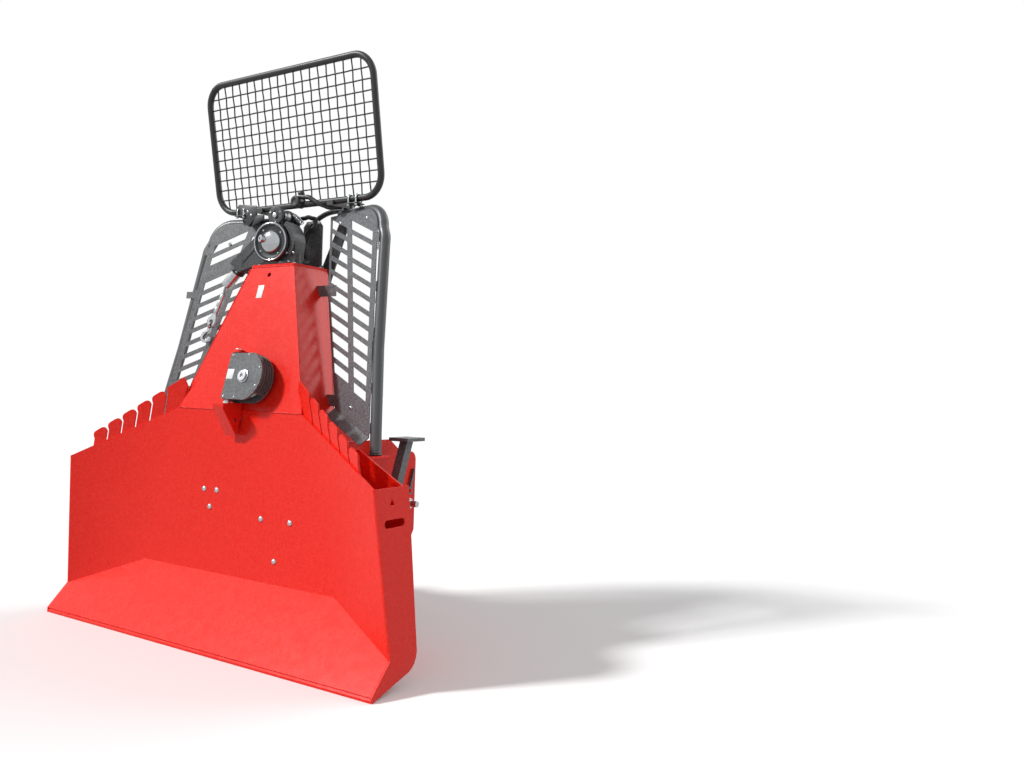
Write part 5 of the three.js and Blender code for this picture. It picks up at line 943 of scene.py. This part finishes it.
def make_hub():
    """The black dished ring with its bright lip, and the chromed dome with a spout."""
    centre = head_point(SHEAVE[0], 0, SHEAVE[1])
    ring = [
        (20, 48.4),
        (84, 48.4),
        (90, 50.5),
        (93.4, 54.5),
        (93.4, 58.5),
        (91, 61.5),
        (86, 63),
        (80, 63),
        (77, 60.5),
        (74, 57),
        (66, 55),
        (54, 54),
        (20, 54),
        (20, 48.4),
    ]
    bowl = turned_piece(
        "hub_ring_cast", ring, centre, HEAD_V, "pulley_head", "painted_black", CAST_IRON_PAINT, 72
    )
    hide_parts("hub_ring")
    lip = [(83, 60), (88, 60), (89, 62.5), (87.6, 64.4)]
    lip += [(85.4, 65), (83.4, 64.2), (82.4, 62), (83, 60)]
    turned_piece("hub_ring_lip", lip, centre, HEAD_V, "pulley_head", "zinc_plated", CHROME, 72)
    dome = [(0, 80), (15, 79.4), (28, 77.2), (39, 73)]
    dome += [(47.4, 67), (52.6, 60.6), (54, 56), (54, 53), (0, 53)]
    cap = turned_piece(
        "hub_cap_dome", dome, centre, HEAD_V, "pulley_head", "zinc_plated", CHROME, 56
    )
    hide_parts("hub_cap")
    spout_at = head_point(SHEAVE[0] + 24, 60, SHEAVE[1] + 8)
    spout = [(5.6, 31), (8, 31), (16, 31), (18, 29), (18, 0), (5.6, 0), (5.6, 31)]
    turned_piece(
        "hub_cap_spout", spout, spout_at, DOME_SPOUT, "pulley_head", "zinc_plated", sides=36
    )
    plug = [(0, 26), (5.8, 26), (5.8, 2), (0, 2)]
    turned_piece("hub_spout_plug", plug, spout_at, DOME_SPOUT, "pulley_head", "guard_plastic")
    screws = bmesh.new()
    for u, w in ring_spots((52, 142, 232, 322), LIP_SCREWS, SHEAVE):
        add_bolt(screws, head_point(u, 55, w), HEAD_V, size=5)
    finish_piece("hub_ring_screws", screws, "pulley_head", "zinc_plated")


def make_head_details():
    """What is cast on the housing: barrel, lugs, swivel column and feeder cover, with bolts."""
    cast = bmesh.new()
    barrel = [(60, 37), (86, 37), (89, 40), (89, 45), (84, 48.6), (60, 48.6), (60, 37)]
    add_turned(cast, barrel, head_point(SHEAVE[0], 0, SHEAVE[1]), HEAD_V, sides=56)
    lug = [(0, 37), (9, 37), (9, 50), (7, 52), (0, 52)]
    for u, w in ring_spots((200, 240, 300, 340, 60, 100, 140), LUG_CIRCLE, SHEAVE):
        add_turned(cast, lug, head_point(u, 0, w), HEAD_V, sides=20)
    column = [(0, 10), (42, 10), (42, 14), (36, 18), (31, 26), (30, 60), (0, 60)]
    add_turned(cast, column, head_point(-26, 0, 0), Z_UP)
    cover = [(0, 37), (38, 37), (42, 40), (42, 47), (39, 50), (17, 50), (15, 47), (0, 47)]
    add_turned(cast, cover, head_point(FEED[0], 0, FEED[1]), HEAD_V, sides=48)
    eased_edges(cast, 0.8, angle=40)
    finish_piece("head_cast_details", cast, "pulley_head", "cast_grey")
    zinc = bmesh.new()
    add_bolt(zinc, head_point(FEED[0], 47, FEED[1]), HEAD_V, size=13)
    for u, w in ring_spots((30, 150, 270), FEED_SCREWS, FEED):
        add_button(zinc, head_point(u, 49.6, w), HEAD_V, radius=5, height=4)
    for u, v in ring_spots(range(0, 360, 60), BASE_BOLTS):
        add_bolt(zinc, head_point(u, v, 17.8), Z_UP, size=6)
    for u, v in ((-11.6, 44), (-48.4, 44), (-48.4, -44)):
        add_button(zinc, head_point(u, v, 60), HEAD_V * math.copysign(1, v), radius=6, height=4)
    finish_piece("head_bolts", zinc, "pulley_head", "zinc_plated")


def make_head_hoses():
    """Feed motor's two hoses, with pressed sleeves, looping down to the swivel's base."""
    low = [(66, -103, 160), (44, -104, 110), (6, -96, 66), (-28, -76, 42), (-40, -44, 28)]
    inner = [(67, MOTOR_V, MOTOR_PORTS_W)] + low
    outer = [(40, -103, 214), (22, -104, 244), (-24, -100, 252), (-74, -84, 236), (-72, -84, 206)]
    outer += [(-30, -92, 172), (-6, -94, 124), (-12, -92, 76)]
    outer += [(-38, -84, 40), (-50, -56, 26), (-44, -34, 22)]
    runs = [smooth_line([head_point(*spot) for spot in run], gap_mm=40) for run in (inner, outer)]
    tube_piece("feed_motor_hoses", runs, HOSE_TUBE, "pulley_head", "painted_black", HOSE_RUBBER)
    sleeves = bmesh.new()
    sleeve = [(0, 0), (12, 0), (12, 3), (11, 4), (13, 6), (13, 20)]
    sleeve += [(11.5, 22), (13, 24), (13, 36), (10, 38), (0, 38)]
    for u in (67, 41):
        add_turned(sleeves, sleeve, head_point(u, MOTOR_V, MOTOR_PORTS_W), -Z_UP, sides=24)
    finish_piece("feed_hose_sleeves", sleeves, "pulley_head", "zinc_plated")
    springs = [
        coil_points(head_point(96, -44, 232), head_point(112, -52, 180), turns=9, radius_mm=11),
        coil_points(head_point(18, -46, 250), head_point(-22, -52, 214), turns=8, radius_mm=11),
    ]
    tube_piece("hose_guard_springs", springs, 1.8, "pulley_head", "zinc_plated", fine=2)


def make_outlet():
    """The arm's nozzle with its black collar, and a cast rib on each side of the arm."""
    lean = math.radians(46)
    u = SHEAVE[0] + math.sin(lean) * 76 + ROPE_DIR[0] * 250
    w = SHEAVE[1] + math.cos(lean) * 76 + ROPE_DIR[1] * 250
    along = HEAD_U * ROPE_DIR[0] + Z_UP * ROPE_DIR[1]
    mouth = head_point(u, 0, w)
    barrel = [
        (9.9, 0.3),
        (22, 0.3),
        (25.4, 3.5),
        (25.4, 58),
        (24.4, 59.2),
        (24.4, 61.4),
        (25.4, 62.6),
        (25.4, 88),
        (23.6, 91.4),
        (21.4, 92),
        (14, 88),
        (9.9, 80),
        (9.9, 0.3),
    ]
    piece = turned_piece(
        "outlet_nozzle_barrel", barrel, mouth, along, "outlet", "zinc_plated", sides=56
    )
    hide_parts("outlet_nozzle")
    collar = [(26, -18), (33.4, -18), (34, -16), (34, 3), (31, 6), (26, 6), (26, -18)]
    turned_piece("outlet_collar_ring", collar, mouth, along, "outlet", "painted_black", sides=56)
    ribs = bmesh.new()
    for side in (1, -1):
        start = head_point(SHEAVE[0] + 50, side * 46, SHEAVE[1] + 20)
        reach = head_point(SHEAVE[0] + 168, side * 46, SHEAVE[1] - 92) - start
        run = reach.length / MM
        sheet = frame_of(start, reach, HEAD_V.cross(reach))
        add_plate(ribs, [(0, -9), (run, -6), (run, 6), (0, 9)], 2.5 * side, sheet)
    eased_edges(ribs, 1)
    finish_piece("outlet_arm_ribs", ribs, "outlet", "cast_grey")
    screws = bmesh.new()
    middle = mouth - along * 8 * MM
    for spot in arc_points(middle, HEAD_V.cross(along), HEAD_V, 34, 60, 300, step=120):
        add_button(screws, spot, spot - middle, radius=5, height=3)
    finish_piece("outlet_collar_screws", screws, "outlet", "zinc_plated")


# Lower pulley

WHEEL_X = 88
COVER_OUT = 86.2  # the cover's front, from the tower's face
HINGE_X, HINGE_OUT = -8, 58
COVER_SCREWS = ((-6, 92), (92, 96), (-6, -92), (60, -94), (172, 40), (172, -40))


def make_lower_pulley_details():
    ribs = [
        arc_points(face_point(WHEEL_X, out, 0), X_RIGHT, FACE_UP, 108.6, -38, 84, step=5)
        for out in (30, 44, 58, 72)
    ]
    tube_piece("pulley_rim_ribs", ribs, 2.4, "lower_pulley", "painted_black", fine=2)
    zinc = bmesh.new()
    washer = [(12, 86), (29, 86), (29, 88.6), (27, 89.6), (12, 89.6), (12, 86)]
    add_turned(zinc, washer, face_point(WHEEL_X, 0, 0), FACE_OUT, sides=48)
    for x, up in COVER_SCREWS:
        add_button(zinc, face_point(x, COVER_OUT, up), FACE_OUT, radius=5.5, height=3.5)
    finish_piece("pulley_face_screws", zinc, "lower_pulley", "zinc_plated")
    plate = bmesh.new()
    sheet = frame_of(face_point(0, COVER_OUT, -14), X_RIGHT, FACE_UP)
    add_plate(plate, [(-17, 0), (23, 0), (23, 44), (-17, 44)], 0.6, sheet)
    eased_edges(plate, 0.25)
    finish_piece("pulley_blank_plate", plate, "lower_pulley", "painted_black", BLANK_VINYL)
    hinge = bmesh.new()
    nut = [(0, 0), (17, 0), (17, 6), (14, 9), (0, 9)]
    tip = [(0, 9), (4, 9), (4, 13), (3, 15), (0, 15)]
    for side in (1, -1):
        end = face_point(HINGE_X, HINGE_OUT, side * 112)
        add_turned(hinge, nut, end, FACE_UP * side, sides=32)
        add_turned(hinge, tip, end, FACE_UP * side, sides=16)
    finish_piece("pulley_hinge_caps", hinge, "winch_frame", "zinc_plated")
    spots = ring_spots(range(0, 361, 20), 15, (HINGE_X, HINGE_OUT))
    ring = [face_point(x, out, -124) for x, out in spots]
    tube_piece("pulley_hinge_ring", [ring], 1.6, "winch_frame", "zinc_plated", fine=2)


# Blade, tower and housing

PANEL_X, PANEL_TOP = 387, 993
CAP_TOP = 1657.3
PANEL_BOLTS = (
    (-197.4, 634.5),
    (-114.4, 634.7),
    (-157.6, 558.3),
    (168.2, 536.4),
    (339.8, 537.2),
    (254, 366),
)
COVER_Y = 420.7  # the front cover's outer face
DRUM_Z, DRIVE_Z = 560, 375.6


def make_weld_beads():
    runs = [
        [metres(4 - PANEL_X, -1.5, PANEL_TOP), metres(PANEL_X - 4, -1.5, PANEL_TOP)],
        [metres(-131, 175, 1645.5), metres(131, 175, 1645.5)],
    ]
    for side in (1, -1):
        runs += [
            [metres(side * PANEL_X, 1, 990), metres(side * 140, 173, 1640)],
            [metres(side * (PANEL_X + 1), 8, 986), metres(side * 928, -168, 742)],
            [metres(side * PANEL_X, 420, 806), metres(side * PANEL_X, 420, 140)],
        ]
    beads = [smooth_line(run, step_mm=3.5) for run in runs]
    tube_piece("frame_weld_beads", beads, 2.6, "winch_frame", "painted_red", ripple=0.24, fine=2)


def make_blade_fixings():
    """Cup-headed bolts in the blade, the tower cap's bolts, and a blank plate on the tower."""
    bolts = bmesh.new()
    cup_head = [(0, 0), (13, 0), (12.6, 2), (9.5, 5), (5, 6.6), (0, 7)]
    for x, z in PANEL_BOLTS:
        add_turned(bolts, cup_head, metres(x, 0, z), -Y_HITCH, sides=28)
    for x in (-112, 112):
        for y in (200, 362):
            add_bolt(bolts, metres(x, y, CAP_TOP), Z_UP)
    finish_piece("blade_panel_bolts", bolts, "winch_frame", "zinc_plated")
    plate = bmesh.new()
    sheet = frame_of(face_point(-40, 0.3, 392), X_RIGHT, FACE_UP)
    add_plate(plate, [(-18, 0), (18, 0), (18, 62), (-18, 62)], 0.8, sheet)
    eased_edges(plate, 0.3)
    finish_piece("tower_blank_plate", plate, "winch_frame", "painted_red", BLANK_VINYL)


def make_back_fixings():
    """On the hitch side: the cover's bolts, the drum's bearing cover, linchpins and their rings."""
    zinc = bmesh.new()
    for side in (1, -1):
        for z in (180, 300, 420, 540, 660):
            add_bolt(zinc, metres(side * 362, COVER_Y, z), Y_HITCH, size=9)
        for x in (250, 130):
            add_bolt(zinc, metres(side * x, COVER_Y, 664), Y_HITCH, size=9)
    covers = bmesh.new()
    bearing = [(32, 0), (74, 0), (74, 7), (70, 10), (46, 10)]
    bearing += [(42, 16), (34, 16), (32, 14), (32, 0)]
    add_turned(covers, bearing, metres(0, COVER_Y, DRUM_Z), Y_HITCH, sides=48)
    centre = [(0, 0), (30, 0), (30, 10), (26, 13), (0, 13)]
    add_turned(covers, centre, metres(0, COVER_Y, DRUM_Z), Y_HITCH)
    eased_edges(covers, 0.6, angle=50)
    finish_piece("drum_bearing_cover", covers, "winch_frame", "cast_grey")
    for x, z in ring_spots(range(0, 360, 60), 59, (0, DRUM_Z)):
        add_bolt(zinc, metres(x, COVER_Y + 9.6, z), Y_HITCH, size=7)
    for x, z in ring_spots(range(30, 390, 60), 100, (0, DRIVE_Z)):
        add_button(zinc, metres(x, COVER_Y + 4.4, z), Y_HITCH, radius=5, height=4)
    finish_piece("back_bolts", zinc, "winch_frame", "zinc_plated")
    pins = bmesh.new()
    pin = [(0, -26), (4.6, -26), (5, -24), (5, 26), (7, 28), (7, 34), (0, 34)]
    rings = []
    for side in (1, -1):
        add_turned(pins, pin, metres(side * 480, 455, 600), Z_UP, sides=20)
        rings.append((side * 480, 455, 630, 24))
    finish_piece("linchpins", pins, "winch_frame", "zinc_plated")
    rings += [(-70, 466, 1085, 20), (86, 466, 1085, 16)]
    rings = [
        arc_points(metres(x, y, z), Y_HITCH, Z_UP, radius, -90, 262) for x, y, z, radius in rings
    ]
    tube_piece("linchpin_rings", rings, 2.4, "winch_frame", "zinc_plated", fine=3)


dress_solids()
make_net()
make_net_clamps()
make_net_fittings()
make_net_hose()
make_back_plate()
make_shield_tubes()
make_shield_bolts()
make_hub()
make_head_details()
make_head_hoses()
make_outlet()
make_lower_pulley_details()
make_weld_beads()
make_blade_fixings()
make_back_fixings()


# Floor and light

FLOOR_HALF = 60  # metres
SOFT_LIGHT = 0.4  # the white room's own light, where a white wall would be 1
FLOOR_IN_METAL = 0.9


def lay_floor():
    """A white studio floor: it keeps the winch's shadow, and metal sees it white."""
    material, tree = new_tree("white_floor")
    path = add_node(tree, "ShaderNodeLightPath", {}, {})
    seen = add_node(
        tree,
        "ShaderNodeMix",
        {"data_type": "RGBA"},
        {
            "Factor_Float": path.outputs["Is Camera Ray"],
            "A_Color": linear("#B4B4B4"),
            "B_Color": linear("#F4F4F4"),
        },
    )
    lit = add_node(tree, "ShaderNodeBsdfDiffuse", {}, {"Color": seen.outputs[2]})
    white = add_node(
        tree,
        "ShaderNodeEmission",
        {},
        {"Color": (1, 1, 1, 1), "Strength": FLOOR_IN_METAL},
    )
    mix = add_node(
        tree,
        "ShaderNodeMixShader",
        {},
        {
            "Fac": path.outputs["Is Glossy Ray"],
            "Shader": lit.outputs[0],
            "Shader_001": white.outputs[0],
        },
    )
    add_node(tree, "ShaderNodeOutputMaterial", {}, {"Surface": mix.outputs[0]})
    shape = bmesh.new()
    bmesh.ops.create_grid(shape, x_segments=1, y_segments=1, size=FLOOR_HALF)
    mesh = bpy.data.meshes.new("studio_floor")
    shape.to_mesh(mesh)
    shape.free()
    mesh.materials.append(material)
    floor = bpy.data.objects.new("studio_floor", mesh)
    bpy.context.scene.collection.objects.link(floor)


def light_the_room():
    """A soft white room, which the camera, metal and glass see as plain white."""
    world = bpy.data.worlds.new("studio_world")
    bpy.context.scene.world = world
    world.use_nodes = True
    tree = world.node_tree
    tree.nodes.clear()
    path = add_node(tree, "ShaderNodeLightPath", {}, {})
    seen = add_node(
        tree,
        "ShaderNodeMath",
        {"operation": "MAXIMUM"},
        {"Value": path.outputs["Is Camera Ray"], "Value_001": path.outputs["Is Transmission Ray"]},
    )
    shown = add_node(
        tree,
        "ShaderNodeMath",
        {"operation": "MAXIMUM"},
        {"Value": seen.outputs[0], "Value_001": path.outputs["Is Glossy Ray"]},
    )
    soft = add_node(
        tree, "ShaderNodeBackground", {}, {"Color": (1, 1, 1, 1), "Strength": SOFT_LIGHT}
    )
    backdrop = add_node(
        tree, "ShaderNodeBackground", {}, {"Color": (1, 1, 1, 1), "Strength": 1.0}
    )
    mix = add_node(
        tree,
        "ShaderNodeMixShader",
        {},
        {
            "Fac": shown.outputs[0],
            "Shader": soft.outputs[0],
            "Shader_001": backdrop.outputs[0],
        },
    )
    add_node(tree, "ShaderNodeOutputWorld", {}, {"Surface": mix.outputs[0]})


def add_lamp(name, towards_lamp, share, spread):
    """A distant lamp; share is what it adds to a white surface that faces it."""
    data = bpy.data.lights.new(name, "SUN")
    data.energy = share * math.pi
    data.angle = math.radians(spread)
    lamp = bpy.data.objects.new(name, data)
    bpy.context.scene.collection.objects.link(lamp)
    lamp.rotation_mode = "QUATERNION"
    lamp.rotation_quaternion = Vector(towards_lamp).to_track_quat("Z", "Y")


lay_floor()
light_the_room()
add_lamp("key_lamp", (-0.53, -0.59, 0.61), share=0.98, spread=7)
add_lamp("back_fill", (0.45, 0.7, 0.55), share=0.34, spread=40)
bpy.context.scene.view_settings.view_transform = "Standard"
